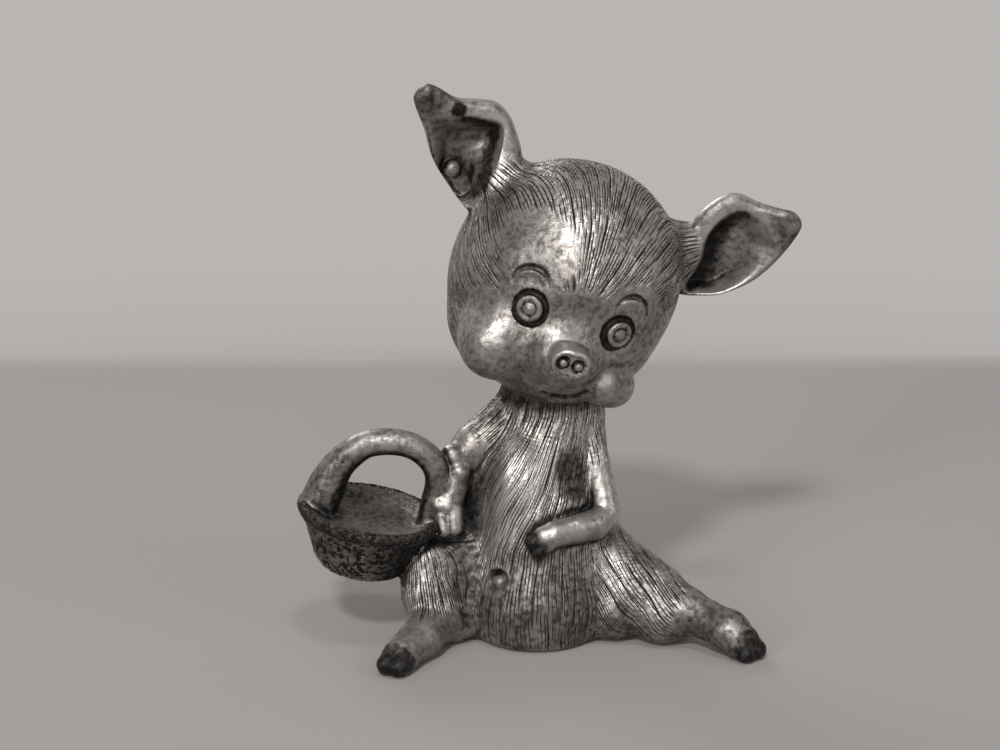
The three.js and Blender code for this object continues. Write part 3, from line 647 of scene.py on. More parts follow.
@dataclass
class Head:
    """The tilted head with its face, in a frame whose -Y points out of the face."""

    pose: Pose = Pose((2.54, -1.0, 31.95), turned(17.8, 5.0))
    skull_centre: Point = (0.0, 0.2, 0.35)
    skull: Point = (10.55, 10.5, 10.95)
    temple: float = 9.35
    temple_out: Point = (0.983, 0.0, -0.179)
    eye: Point = (4.12, -9.75, -0.88)
    eye_radius: float = 1.64
    eye_disc: float = 1.16
    brow: Flat = (4.5, 1.1)
    brow_radius: float = 1.55
    brow_height: float = 1.5
    brow_tilt: float = 12.0
    jaw: Mound = ((-5.0, -2.0, -4.5), 4.1, 2.0)
    dip: Mound = ((0.4, -12.0, 0.0), (4.0, 1.7, 1.3), 1.5)
    cheek: Mound = ((-5.4, -6.5, -5.3), 3.2, 1.9)
    muzzle: Mound = ((0.15, -8.2, -4.1), (3.6, 3.5, 2.9), 1.2)
    chin: Mound = ((0.7, -6.9, -6.4), (3.3, 2.6, 2.2), 0.9)
    bump: Mound = ((4.3, -7.5, -6.1), 1.75, 0.7)
    jowl: Mound = ((5.55, -6.1, -6.1), 2.1, 0.6)
    snout: Point = (0.35, -12.3, -3.9)
    snout_radius: float = 1.3
    snout_axis: Point = (0.06, -0.958, -0.28)
    mouth: Flat = (1.2, -7.75)
    mouth_half: float = 1.9
    bridge: Point = (0.1, -10.9, -1.2)
    hair_ends: tuple[Point, ...] = ((-9.6, 0.6, 6.6), (9.8, 0.6, 5.6), (0.0, 9.0, -5.0))
    hair_radius: float = 10.8
    strands: int = 32
    # Spots of rubbed wear and painted highlights: x, z, size and share.
    wear_and_highlight_spots: tuple[Bone, ...] = (
        (-1.6, 5.6, 1.8, 0.3), (-5.6, -4.6, 0.9, 0.4), (-1.8, -2.4, 1.0, 0.3),
        (0.0, -2.8, 0.9, 0.7), (4.5, -5.2, 1.1, 0.8),
    )

    def eye_clay(self, face: Clay, side: Side) -> Clay:
        """Sink one eye into the face and leave its disc, ring and pupil standing.

        Args:
            face: The face so far.
            side: Which eye.

        Returns:
            The face with the eye.
        """
        middle = self.eye_place(side)
        out = unit(middle)
        socket, iris, groove, pupil = (tuple(middle + out * rise) for rise in (0.2, -0.55, 0.05, -0.15))
        return (
            face.carved(disc(socket, tuple(out), self.eye_radius, 0.85, 0.14), 0.08)
            .joined(disc(iris, tuple(out), self.eye_disc, 0.6, 0.18), 0.04)
            .carved(ring(groove, tuple(out), 0.6, 0.13), 0.03)
            .joined(ball(pupil, 0.32), 0.03)
        )

    def eye_place(self, side: Side) -> Array:
        """Give the middle of one eye."""
        return np.asarray((side.value * self.eye[0], self.eye[1], self.eye[2]))

    def brow_place(self, side: Side, turn: float, size: float) -> Flat:
        """Give a place on a brow's arch, whose outer end hangs.

        Args:
            side: Which brow.
            turn: Angle on the arch, 0 at its outer end, in degrees.
            size: Share of the arch's size.

        Returns:
            The place's x and z.
        """
        angle, tilt = math.radians(turn), math.radians(self.brow_tilt)
        out, up = size * self.brow_radius * math.cos(angle), size * self.brow_height * math.sin(angle)
        across = out * math.cos(tilt) + up * math.sin(tilt)
        return side.value * (self.brow[0] + across), self.brow[1] + up * math.cos(tilt) - out * math.sin(tilt)

    def brow_clay(self, face: Clay, side: Side) -> Clay:
        """Engrave one brow's arch and raise the lid under it.

        Args:
            face: The face so far.
            side: Which brow.

        Returns:
            The face with the brow.
        """
        turns = range(0, 181, 15)
        full = [math.sin(math.radians(turn)) for turn in turns]
        arch = on_front(face, [self.brow_place(side, turn, 1.0) for turn in turns], 0.04)
        lid = on_front(face, [self.brow_place(side, turn, 0.7) for turn in turns], -0.1)
        groove = [(*point, 0.1 + 0.15 * share) for point, share in zip(arch, full)]
        ridge = [(*point, 0.08 + 0.24 * share) for point, share in zip(lid, full)]
        return face.joined(limb(ridge, 0.02), 0.2).carved(limb(groove, 0.02), 0.08)

    def snout_clay(self, face: Clay) -> Clay:
        """Add the snout's oval disc with its rim and nostrils.

        Args:
            face: The face so far.

        Returns:
            The face with the snout.
        """
        axis, dish_radius, nostril = self.snout_axis, self.snout_radius - 0.3, 0.66
        ovals = [disc(self.on_snout(x, 0.0, -0.7), axis, self.snout_radius, 0.9, 0.25) for x in (-0.38, 0.38)]
        dishes = [disc(self.on_snout(x, -0.05, 0.3), axis, dish_radius, 0.26, 0.15) for x in (-0.4, 0.4)]
        face = face.joined(ovals[0].joined(ovals[1], 0.3), 0.3).carved(dishes[0].joined(dishes[1], 0.2), 0.1)
        for x in (-nostril, nostril):
            face = face.carved(ball(self.on_snout(x, -0.05, 0.1), (0.56, 0.6, 0.68)), 0.06)
        for x in (-nostril, nostril):
            face = face.joined(ball(self.on_snout(x + 0.05, -0.08, -0.2), 0.44), 0.03)
        return face

    def on_snout(self, x: float, z: float, rise: float) -> Point:
        """Give a point of the snout.

        Args:
            x: Way across the snout's disc.
            z: Way up the disc.
            rise: Way out of the disc.

        Returns:
            The point in the head's frame.
        """
        out = np.asarray(self.snout_axis)
        up = np.asarray((0.0, out[2], -out[1]))
        return tuple(np.asarray(self.snout) + np.asarray((x, 0.0, 0.0)) + up * z + out * rise)

    def smile(self, share: Array | float) -> Array | float:
        """Give the smile's rise over its middle at shares of its half width."""
        return 0.5 * share**2 + 0.35 * share + 0.3 * share**3

    def mouth_clay(self, face: Clay) -> Clay:
        """Cut the smile and raise the lower lip.

        Args:
            face: The face so far.

        Returns:
            The face with the mouth.
        """
        x, z = self.mouth
        shares = np.linspace(-1.0, 1.0, 9)
        line = on_front(face, [(x + self.mouth_half * s, z + self.smile(s)) for s in shares], 0.05)
        lower = on_front(face, [(x + 0.8 * self.mouth_half * s, z - 0.5 + self.smile(s)) for s in shares], -0.12)
        cut = [(*point, 0.36 - 0.2 * s**2) for point, s in zip(line, shares)]
        lip = [(*point, 0.3 - 0.12 * s**2) for point, s in zip(lower, shares)]
        return face.joined(limb(lip, 0.05), 0.2).carved(limb(cut, 0.05), 0.1)

    def clay(self) -> Clay:
        """Sculpt the head.

        Returns:
            The solid in the torso's frame.
        """
        away = np.asarray(self.temple_out, np.float32)
        flat = Clay(lambda p: p @ away - self.temple)
        face = ball(self.skull_centre, self.skull).kept(flat, 1.6).swollen(self.jaw).dented(self.dip)
        for mound in (self.cheek, self.muzzle, self.chin, self.bump, self.jowl):
            face = face.swollen(mound)
        for side in Side:
            face = self.brow_clay(face, side)
        for side in Side:
            face = self.eye_clay(face, side)
        return self.mouth_clay(self.snout_clay(face)).placed(self.pose)

    def flow(self, p: Array) -> Flow:
        """Fan the hair out from the nose to the ears and the nape, and from the ears down to the jaw.

        Args:
            p: Points on the head.

        Returns:
            The flow, with the face's patina and painted shade, and its rubbed spots with painted highlights.
        """
        local = self.pose.local(p)
        n = local / np.maximum(np.linalg.norm(local, axis=1, keepdims=True), TINY)
        source = chart(unit(self.bridge))
        z = chart(n)
        stream = np.angle(z - source)
        pull = 1.0 / (z - source + TINY)
        for end in self.hair_ends:
            sink = chart(unit(end))
            stream = stream - 0.5 * np.angle(z - sink)
            pull = pull - 0.5 / (z - sink + TINY)
        slope = np.abs(pull) * (1.0 + np.abs(z) ** 2) / 2.0 / self.hair_radius
        pitch = FULL_TURN / (self.strands * np.maximum(slope, 1e-4))
        turns = stream * self.strands / FULL_TURN + 0.12 * wandering(p) / np.maximum(pitch, 0.2)
        along = self.hair_radius * np.arccos(np.clip(n @ unit(self.bridge), -1.0, 1.0))
        return Flow(turns, pitch, along, self.hair_amount(local), self.patina_and_shade(local), self.wear_and_highlight(local))

    def wear_and_highlight(self, local: Array) -> Array:
        """Mark the forehead, the cheek and the muzzle, which are rubbed bright and carry painted highlights.

        Args:
            local: Points in the head's frame.

        Returns:
            Shares of rubbing and painted highlight, up to 1.
        """
        x, y, z = local.T
        spots = [share * step(1.2, 0.3, np.hypot(x - sx, z - sz) / size) for sx, sz, size, share in self.wear_and_highlight_spots]
        return np.maximum.reduce(spots) * step(-4.0, -6.0, y)

    def patina_and_shade(self, local: Array) -> Array:
        """Mark the patina in the eyes' rings, the brows and the mouth, painted shade under the chin, a darkened dip
        between the eyes, a grey patch on the forehead and freckles.

        Args:
            local: Points in the head's frame.

        Returns:
            Shares of patina and painted shade, up to 1.
        """
        x, y, z = local.T
        front = step(-5.0, -6.5, y)
        dark = np.zeros(len(local))
        for side in Side:
            eye = self.eye_place(side)
            far = np.linalg.norm(np.cross(local - eye, unit(eye)), axis=1)
            rim = far - self.eye_disc
            dark = np.maximum(dark, step(-0.03, 0.05, rim) * step(1.74, 1.6, far))
            dark = np.maximum(dark, 0.8 * step(0.46, 0.54, far) * step(0.76, 0.68, far))
            dark = np.maximum(dark, 0.35 * step(0.0, -0.05, rim))
            for turn in range(0, 181, 6):
                bx, bz = self.brow_place(side, turn, 1.0)
                width = 0.12 + 0.13 * math.sin(math.radians(turn))
                dark = np.maximum(dark, 0.85 * step(width, 0.3 * width, np.hypot(x - bx, z - bz)))
        share = (x - self.mouth[0]) / self.mouth_half
        smile = np.abs(z - self.mouth[1] - self.smile(share))
        broken = 0.8 + 0.2 * wandering(3.0 * local)
        dark = np.maximum(dark, broken * step(0.4, 0.1, smile) * step(1.2, 0.9, np.abs(share)))
        # chin: painted shade, darker towards the underside of the face
        chin = 0.42 * step(-6.6, -8.2, z + 0.3 * wandering(1.5 * local))
        root = 0.2 * step(1.3, 0.5, np.hypot((x - 0.5) / 3.0, (z - 0.3) / 1.5))
        grey = 0.34 * step(1.25, 0.6, np.hypot((x + 5.6) / 3.4, (z - 3.4) / 3.6))
        freckle = 0.3 * (0.6 + 0.4 * wandering(2.0 * local)) * step(2.5, 0.5, z)
        return np.maximum.reduce([dark, chin, root, grey, freckle * (1.0 - self.wear_and_highlight(local))]) * front

    def hair_amount(self, local: Array) -> Array:
        """Leave the face, the burnished brow and the chin without hair.

        Args:
            local: Points in the head's frame.

        Returns:
            How deep the hair is cut, up to 1.
        """
        x, y, z = local.T
        front = step(-4.0, -6.5, y)
        face = front * step(2.6, 1.6, z + 0.12 * np.abs(x - 0.2) ** 1.3 - 0.15 * x)
        spot = front * step(1.25, 0.8, np.hypot((x + 4.4) / 3.5, (z - 4.1) / 3.0))
        brows = np.minimum(np.hypot(x - 4.85, z - 1.2), np.hypot(x + 4.85, z - 1.2))
        return (1.0 - face) * (1.0 - spot) * step(-9.0, -6.5, z) * np.maximum(1.0 - front, step(2.1, 2.9, brows))


@dataclass
class Ear:
    """A cupped ear in the head's frame, drawn in its x and z and hollowed along its y."""

    side: Side
    edge: tuple[Flat, ...]
    mouth: tuple[Flat, ...]
    stalk: tuple[Bone, ...]
    shade: Point
    bead: Bone | None = None
    pit: Flat | None = None
    plane: float = 0.6
    cup: float = 2.6
    wall: float = 0.95
    pose: Pose = field(default_factory=lambda: Head().pose)

    def clay(self) -> Clay:
        """Sculpt the ear.

        Returns:
            The solid in the torso's frame.
        """
        edge = PlaneTable(rounded_outline(self.edge))
        mouth = PlaneTable(rounded_outline(self.mouth))

        def sheet(p: Array) -> Array:
            """Measure how far points lie from the cupped leaf.

            Args:
                p: Points in the solid's frame.

            Returns:
                Distances, negative inside.
            """
            forward = self.plane - p[:, 1]
            front, back = self.faces(p, mouth)[:2]
            shell = blend_max(0.75 * (forward - front), 0.75 * (back - forward), 0.3)
            return blend_max(shell, edge.look(p[:, 0], p[:, 2]), 0.9)

        clay = Clay(sheet).joined(limb(self.stalk), 0.9)
        if self.bead:
            clay = clay.joined(ball(self.bead[:3], self.bead[3]), 0.3)
        return clay.placed(self.pose)

    def faces(self, local: Array, mouth: PlaneTable) -> tuple[Array, Array, Array, Array]:
        """Measure the leaf over points.

        Args:
            local: Points in the head's frame.
            mouth: Table of the hollow's outline.

        Returns:
            Heights of the front and back faces, how far inside the hollow each point lies, and how far out.
        """
        x, z, side = local[:, 0], local[:, 2], self.side.value
        deep = -mouth.look(x, z)
        reach = (x - side * 10.2) * side * 0.83 + (z - 7.0) * 0.56
        bank = 0.9 + 2.0 * step(0.5, 6.0, reach)
        hollow = self.cup * step(0.0, 1.0, deep / bank) * (1.0 - 0.85 * step(1.0, 8.5, reach))
        lift = 0.9 * step(5.0, 9.5, reach)
        return 0.65 + lift - hollow, lift - 0.8 * hollow - self.wall, deep, reach

    def patina_and_shade(self, p: Array) -> Array:
        """Mark the hollow's patina, with painted shade beside the head and under the upper rim, and a darker tip.

        Args:
            p: Points on the ear.

        Returns:
            Shares of patina and painted shade, up to 1.
        """
        local = self.pose.local(p)
        front, back, deep, reach = self.faces(local, PlaneTable(rounded_outline(self.mouth)))
        facing = step(-0.2, 0.2, self.plane - local[:, 1] - (front + back) / 2.0)
        mottle = mottled(2.2 * p)
        # painted shade in the hollow beside the head and under the upper rim
        beside = step(1.4, 0.6, (self.side.value * local[:, 0] - self.shade[0]) / self.shade[2])
        under = step(2.0, 0.5, self.shade[1] - local[:, 2]) * step(7.0, 4.5, reach)
        inside = step(0.1, 0.7, deep) * np.maximum.reduce([beside, under, 0.15 + 0.35 * mottle])
        dark = np.maximum(inside, (0.35 + 0.4 * mottle) * step(6.0, 7.5, reach))
        if self.pit:
            dark = np.maximum(dark, step(0.9, 0.5, np.hypot(local[:, 0] - self.pit[0], local[:, 2] - self.pit[1])))
        return facing * dark


LEFT_EAR = Ear(
    Side.LEFT,
    edge=(
        (9.2, 8.4), (10.0, 10.4), (11.4, 12.0), (12.7, 12.4), (14.4, 12.2), (16.3, 12.25), (17.6, 12.35), (18.6, 11.6),
        (18.6, 10.3), (17.7, 7.3), (16.4, 5.1), (14.2, 3.2), (12.2, 2.4), (10.0, 2.2), (8.6, 5.0),
    ),
    mouth=(
        (10.4, 2.6), (10.6, 6.1), (10.8, 8.3), (11.5, 10.1), (12.9, 11.4), (14.9, 11.2), (16.4, 10.5), (17.7, 8.9),
        (17.3, 7.2), (16.1, 5.1), (14.2, 3.4), (12.3, 2.6),
    ),
    stalk=((5.5, 1.0, 3.8, 3.2), (8.8, 1.6, 5.6, 2.7), (10.6, 3.0, 6.6, 1.6)),
    shade=(10.5, 11.3, 2.9),
)
RIGHT_EAR = Ear(
    Side.RIGHT,
    edge=(
        (-10.4, 4.0), (-12.7, 5.2), (-14.8, 7.4), (-16.2, 9.6), (-17.6, 11.4), (-18.0, 12.4), (-17.3, 13.6),
        (-16.0, 13.6), (-14.4, 13.2), (-12.4, 13.6), (-10.8, 13.8), (-9.4, 13.1), (-8.2, 11.7), (-7.2, 9.8),
        (-7.4, 6.4),
    ),
    mouth=(
        (-9.1, 6.0), (-9.1, 8.6), (-9.2, 10.8), (-9.8, 12.3), (-12.3, 12.4), (-14.4, 12.0), (-15.8, 11.5),
        (-16.6, 10.4), (-15.4, 7.2), (-13.2, 4.6), (-10.8, 3.8),
    ),
    stalk=((-5.4, 1.0, 5.4, 3.2), (-8.0, 1.6, 7.0, 2.7), (-9.4, 3.0, 8.4, 1.6)),
    shade=(9.2, 12.3, 1.4),
    bead=(-12.6, 2.0, 6.8, 0.75),
    pit=(-13.8, 12.2),
)


@dataclass
class Limb:
    """An arm or a leg as a chain of bones that ends in a cloven trotter."""

    joints: tuple[Bone, ...]
    toes: tuple[Bone, ...]
    toe_spread: Point
    blend: float
    hair_start: Point
    hair_end: Point
    bare_from: float
    hair_count: int = 32
    hair_twist: float = 0.0
    toe_blend: float = 0.15
    extra: tuple[Bone, ...] = ()
    extra_blend: float = 1.2
    on_floor: bool = True
    dark_toe: float = 0.95
    stain: float = 0.08
    # nook: places and radii of painted shade
    nook: tuple[Bone, ...] = ()

    def clay(self) -> Clay:
        """Sculpt the limb.

        Returns:
            The solid in the torso's frame.
        """
        clay = limb(self.joints, self.blend)
        for x, y, z, radius in self.extra:
            clay = clay.joined(ball((x, y, z), radius), self.extra_blend)
        for side in (-0.5, 0.5):
            shift = np.asarray(self.toe_spread) * side
            toe = [(x + shift[0], y + shift[1], z + shift[2], r) for x, y, z, r in self.toes]
            clay = clay.joined(limb(toe, 0.1), self.toe_blend)
        return clay.kept(FLOOR, 0.25) if self.on_floor else clay

    def flow(self, p: Array) -> Flow:
        """Run the hair along the limb and leave the trotter bare.

        Args:
            p: Points on the limb.

        Returns:
            The flow, with patina on the toes and painted shade in the nook.
        """
        flow = round_axis(p, self.hair_start, self.hair_end, self.hair_count, self.hair_twist)
        flow.amount = step(self.bare_from + 0.6, self.bare_from - 0.6, flow.along)
        tip = np.asarray(self.toes[-1][:3])
        back = np.asarray(self.toes[0][:3]) - tip
        share = (p - tip) @ back / np.linalg.norm(back)
        mottle = mottled(1.3 * p)
        toes = self.dark_toe * step(1.7, 0.3, share + 0.5 * wandering(2.4 * p))
        flow.patina_and_shade = np.maximum(toes, self.stain * (mottle + 0.6 * (1.0 - flow.amount)))
        # painted shade in the nooks
        for x, y, z, radius in self.nook:
            shade = step(1.1, 0.5, np.linalg.norm(p - (x, y, z), axis=1) / radius)
            flow.patina_and_shade = np.maximum(flow.patina_and_shade, 0.62 * shade)
            flow.amount = flow.amount * (1.0 - 0.3 * shade)
        return flow


LEFT_LEG = Limb(
    joints=(
        (4.4, -1.0, 5.5, 5.0), (10.4, -4.7, 3.9, 3.2), (13.4, -6.3, 3.0, 2.2), (15.2, -7.4, 2.6, 1.75),
        (17.2, -9.0, 2.1, 1.85), (18.3, -10.1, 1.6, 1.5),
    ),
    toes=((18.3, -10.1, 1.2, 1.05), (19.0, -10.8, 0.9, 0.92)),
    toe_spread=(1.0, 0.85, 0.0),
    toe_blend=0.3,
    extra=((7.2, -5.4, 2.5, 2.5), (11.4, -6.5, 2.3, 2.3)),
    blend=0.4,
    hair_start=(3.5, -0.5, 6.0),
    hair_end=(15.0, -7.2, 2.6),
    hair_twist=0.9,
    bare_from=12.0,
    stain=0.38,
)
RIGHT_LEG = Limb(
    joints=(
        (-3.4, -2.2, 4.8, 3.3), (-10.2, -4.6, 7.2, 2.35), (-9.75, -5.9, 4.5, 2.35), (-9.1, -6.6, 2.4, 2.35),
        (-10.3, -9.9, 1.8, 1.85), (-12.0, -12.9, 1.4, 1.55),
    ),
    toes=((-12.0, -13.0, 1.2, 1.1), (-12.6, -14.2, 0.95, 0.95)),
    toe_spread=(1.0, -0.5, 0.0),
    toe_blend=0.3,
    extra=((-7.3, -6.0, 1.7, 1.7), (-7.6, -4.6, 4.2, 2.2), (-6.7, -3.2, 8.0, 1.9)),
    blend=0.5,
    hair_start=(-10.4, -4.6, 10.0),
    hair_end=(-9.2, -6.4, 2.5),
    bare_from=7.4,
    stain=0.3,
    # painted shade where the thigh meets the torso, under the basket
    nook=((-5.9, -5.0, 8.2, 3.4), (-6.4, -5.9, 5.2, 2.3), (-6.7, -6.6, 2.6, 2.1)),
)
LEFT_ARM = Limb(
    joints=(
        (4.4, -1.2, 19.6, 1.6), (5.4, -3.0, 16.2, 1.25), (6.0, -4.3, 13.2, 1.3), (6.2, -4.8, 11.7, 1.42),
        (5.2, -6.0, 11.15, 1.4), (3.6, -7.2, 11.1, 1.3), (1.6, -8.1, 10.9, 1.18), (0.7, -8.4, 10.6, 1.08),
    ),
    toes=((0.7, -8.5, 10.5, 0.8), (-0.1, -8.8, 9.95, 0.68)),
    toe_spread=(0.45, 0.0, -0.75),
    on_floor=False,
    blend=0.12,
    hair_start=(4.6, -0.9, 19.5),
    hair_end=(6.2, -4.5, 11.7),
    hair_count=16,
    bare_from=4.5,
)
RIGHT_ARM = Limb(
    joints=(
        (-2.8, -0.7, 19.3, 2.2), (-5.6, -2.0, 17.5, 1.85), (-7.0, -2.9, 16.1, 1.65), (-7.6, -3.9, 14.1, 1.5),
        (-8.0, -5.0, 12.4, 1.2),
    ),
    toes=((-8.0, -5.3, 12.1, 0.85), (-7.8, -6.2, 10.7, 0.62)),
    toe_spread=(0.95, 0.0, 0.2),
    toe_blend=0.08,
    extra=(
        (-7.5, -3.4, 16.7, 1.15), (-6.9, -4.2, 15.4, 0.95), (-8.5, -4.8, 14.5, 0.85), (-8.7, -5.3, 12.7, 0.8),
    ),
    extra_blend=0.3,
    on_floor=False,
    blend=0.2,
    hair_start=(-2.4, -0.4, 20.0),
    hair_end=(-6.9, -2.6, 16.3),
    hair_count=16,
    bare_from=4.0,
    dark_toe=0.25,
)


@dataclass
class Tail:
    """A curl against the back."""

    root: Point = (0.0, 8.0, 6.2)
    curl: float = 1.5
    turns: float = 1.35
    rise: float = 1.9
    radius: float = 0.62
    bones: int = 21

    def clay(self) -> Clay:
        """Sculpt the tail.

        Returns:
            The solid in the torso's frame.
        """
        x, y, z = self.root
        joints = []
        for share in np.linspace(0.0, 1.0, self.bones + 1):
            turn = FULL_TURN * self.turns * share
            curl = self.curl * (1.0 - 0.45 * share)
            across, up = curl * math.sin(turn), self.curl - curl * math.cos(turn)
            joints.append((x + across, y + self.rise * share - 0.3, z + up, self.radius * (1.1 - 0.5 * share)))
        return limb(joints, 0.05)

    def flow(self, p: Array) -> Flow:
        """Leave the tail bare."""
        return Flow.even(len(p), 0.0)


@dataclass
class Basket:
    """The basket's bowl and handle, in a frame whose z = 0 is the rim's top."""

    pose: Pose = Pose((-15.0, -4.5, 12.05), turned(10.0, 0.0, 2.5))
    profile: tuple[Flat, ...] = (
        (0.0, -5.8), (2.8, -5.75), (3.7, -5.4), (4.35, -4.6), (5.15, -2.7), (5.75, -1.25), (6.15, -1.0), (6.4, -0.5),
        (6.35, -0.1), (6.0, 0.05), (5.3, -0.25), (4.4, -0.75), (3.3, -1.0), (0.0, -1.1),
    )
    handle: tuple[Bone, ...] = (
        (-4.6, 0.0, -0.2, 1.75), (-4.2, 0.0, 1.4, 1.75), (-3.8, 0.0, 2.8, 1.55), (-3.1, 0.0, 4.2, 1.4),
        (-1.5, 0.0, 5.9, 1.25), (0.4, 0.0, 6.6, 1.2), (2.2, 0.0, 6.7, 1.18), (3.5, 0.0, 6.35, 1.18),
        (4.65, 0.0, 5.6, 1.18), (5.35, 0.0, 4.5, 1.12), (5.55, 0.0, 3.3, 1.08), (5.45, 0.0, 1.6, 1.08),
        (5.4, 0.0, -0.2, 1.1),
    )
    edge: float = 0.1
    arch_middle: Point = (0.6, 0.0, 1.6)
    batch: int = 4000

    def bowl_flow(self, p: Array) -> Flow:
        """Pit the bowl, blacken its dish and its lip, and paint shade on the side by the knee.

        Args:
            p: Points on the bowl.

        Returns:
            A flow without lines.
        """
        local = self.pose.local(p)
        x, z, wide = local[:, 0], local[:, 2], np.hypot(local[:, 0], local[:, 1])
        inside = step(-1.6, -1.2, z) * step(5.9, 5.5, wide)
        lip = step(5.5, 5.9, wide) * step(-1.3, -0.9, z)
        # knee: painted shade on the side next to the knee and hand
        knee = step(0.5, 4.0, x) * step(-0.6, -1.2, z)
        flow = Flow.even(len(p), 1.0)
        flow.amount = 1.0 - 0.65 * inside
        flow.patina_and_shade = np.maximum.reduce([0.3 * inside, 0.7 * lip, 0.9 * knee])
        return flow

    def handle_flow(self, p: Array) -> Flow:
        """Pit the handle, paint shade on the inside of its arch, and stain the rest.

        Args:
            p: Points on the handle.

        Returns:
            A flow without lines.
        """
        local = self.pose.local(p)
        line = self.handle_line()[:, :3]
        near = np.empty_like(local)
        for k in range(0, len(local), self.batch):
            apart = ((local[k : k + self.batch, None, :] - line[None]) ** 2).sum(2)
            near[k : k + self.batch] = line[apart.argmin(1)]
        inward = np.asarray(self.arch_middle) - near
        inward = inward / np.maximum(np.linalg.norm(inward, axis=1, keepdims=True), TINY)
        share = ((local - near) * inward).sum(1) / np.maximum(np.linalg.norm(local - near, axis=1), TINY)
        mottle = mottled(1.5 * p)
        flow = Flow.even(len(p), 1.0)
        # painted shade inside the arch, over a mottled stain
        flow.patina_and_shade = np.maximum(0.95 * step(0.1, 0.75, share + 0.12 * wandering(2.0 * p)), 0.1 + 0.5 * mottle)
        return flow

    def bowl_clay(self) -> Clay:
        """Sculpt the bowl and soften its edges.

        Returns:
            The solid in the torso's frame.
        """
        body = lathe(self.profile)
        soft = Clay(lambda p: body.distance(p) - self.edge)
        return soft.placed(self.pose)

    def handle_line(self) -> Array:
        """Run the handle's centre line smoothly, with its radius."""
        return rounded_outline(self.handle, 5, closed=False)

    def handle_clay(self) -> Clay:
        """Sculpt the handle."""
        return limb(self.handle_line(), 0.02).placed(self.pose)


# Casting


@dataclass(frozen=True)
class Casting:
    """One casting's solid and hair, the space to look for it in, and the castings that it touches."""

    clay: Clay
    flow: Callable[[Array], Flow]
    low: Point
    high: Point
    near: tuple[str, ...]

    def box(self) -> tuple[Array, Array]:
        """Give the lowest and highest corner of the space."""
        return np.asarray(self.low, float), np.asarray(self.high, float)


@dataclass
class Figure:
    """All castings together, and how their surfaces run into each other."""

    castings: dict[str, Casting]
    margin: float = 2.5
    limb_fillets: tuple[tuple[str, float], ...] = (
        ("left_leg", 1.6), ("right_leg", 1.5), ("left_arm", 0.3), ("right_arm", 0.9), ("tail", 0.5),
    )
    ear_fillet: float = 1.0
    handle_fillet: float = 0.6
    neck_fillet: float = 0.5
    basket_fillet: float = 0.35
    dive: float = 0.3
    lap: float = 0.6

    def distances(self, points: Array, names: Sequence[str]) -> dict[str, Array]:
        """Measure the distance to each named casting, and call the others far."""
        away = np.full(len(points), FAR, np.float32)
        return {name: self.distance(points, name) if name in names else away for name in self.castings}

    def distance(self, points: Array, name: str) -> Array:
        """Measure the distance to one casting, closely only near its box.

        Args:
            points: Points in the torso's frame.
            name: The casting.

        Returns:
            Distances in millimetres.
        """
        low, high = self.castings[name].box()
        gap = np.maximum(low - points, points - high).max(1).astype(np.float32)
        close = gap < self.margin
        gap[close] = self.castings[name].clay.distance(points[close])
        return gap

    def whole(self, d: dict[str, Array]) -> Array:
        """Run the castings into one surface, with a fillet at each joint.

        Args:
            d: Distances to each casting.

        Returns:
            Distances to the surface.
        """
        body = d["torso"]
        for name, fillet in self.limb_fillets:
            body = blend_min(body, d[name], fillet)
        skull = blend_min(blend_min(d["head"], d["left_ear"], self.ear_fillet), d["right_ear"], self.ear_fillet)
        carried = blend_min(d["basket_bowl"], d["basket_handle"], self.handle_fillet)
        return blend_min(blend_min(body, skull, self.neck_fillet), carried, self.basket_fillet)

    def surface(self, points: Array) -> Array:
        """Measure the distance to the whole figure."""
        return self.whole(self.distances(points, tuple(self.castings)))

    def skin(self, name: str) -> Field:
        """Make the distance to one casting, whose skin dives under its neighbours at the joints.

        Args:
            name: The casting.

        Returns:
            A function from points to distances.
        """
        near = self.castings[name].near

        def distance(points: Array) -> Array:
            """Measure how far points lie from the casting's skin.

            Args:
                points: Points in the torso's frame.

            Returns:
                Distances, negative inside.
            """
            d = self.distances(points, (name, *near))
            others = np.minimum.reduce([d[other] for other in near])
            past = d[name] - others
            return blend_max(self.whole(d) + self.dive * np.maximum(past, 0.0), 0.5 * (past - self.lap), 0.05)

        return distance


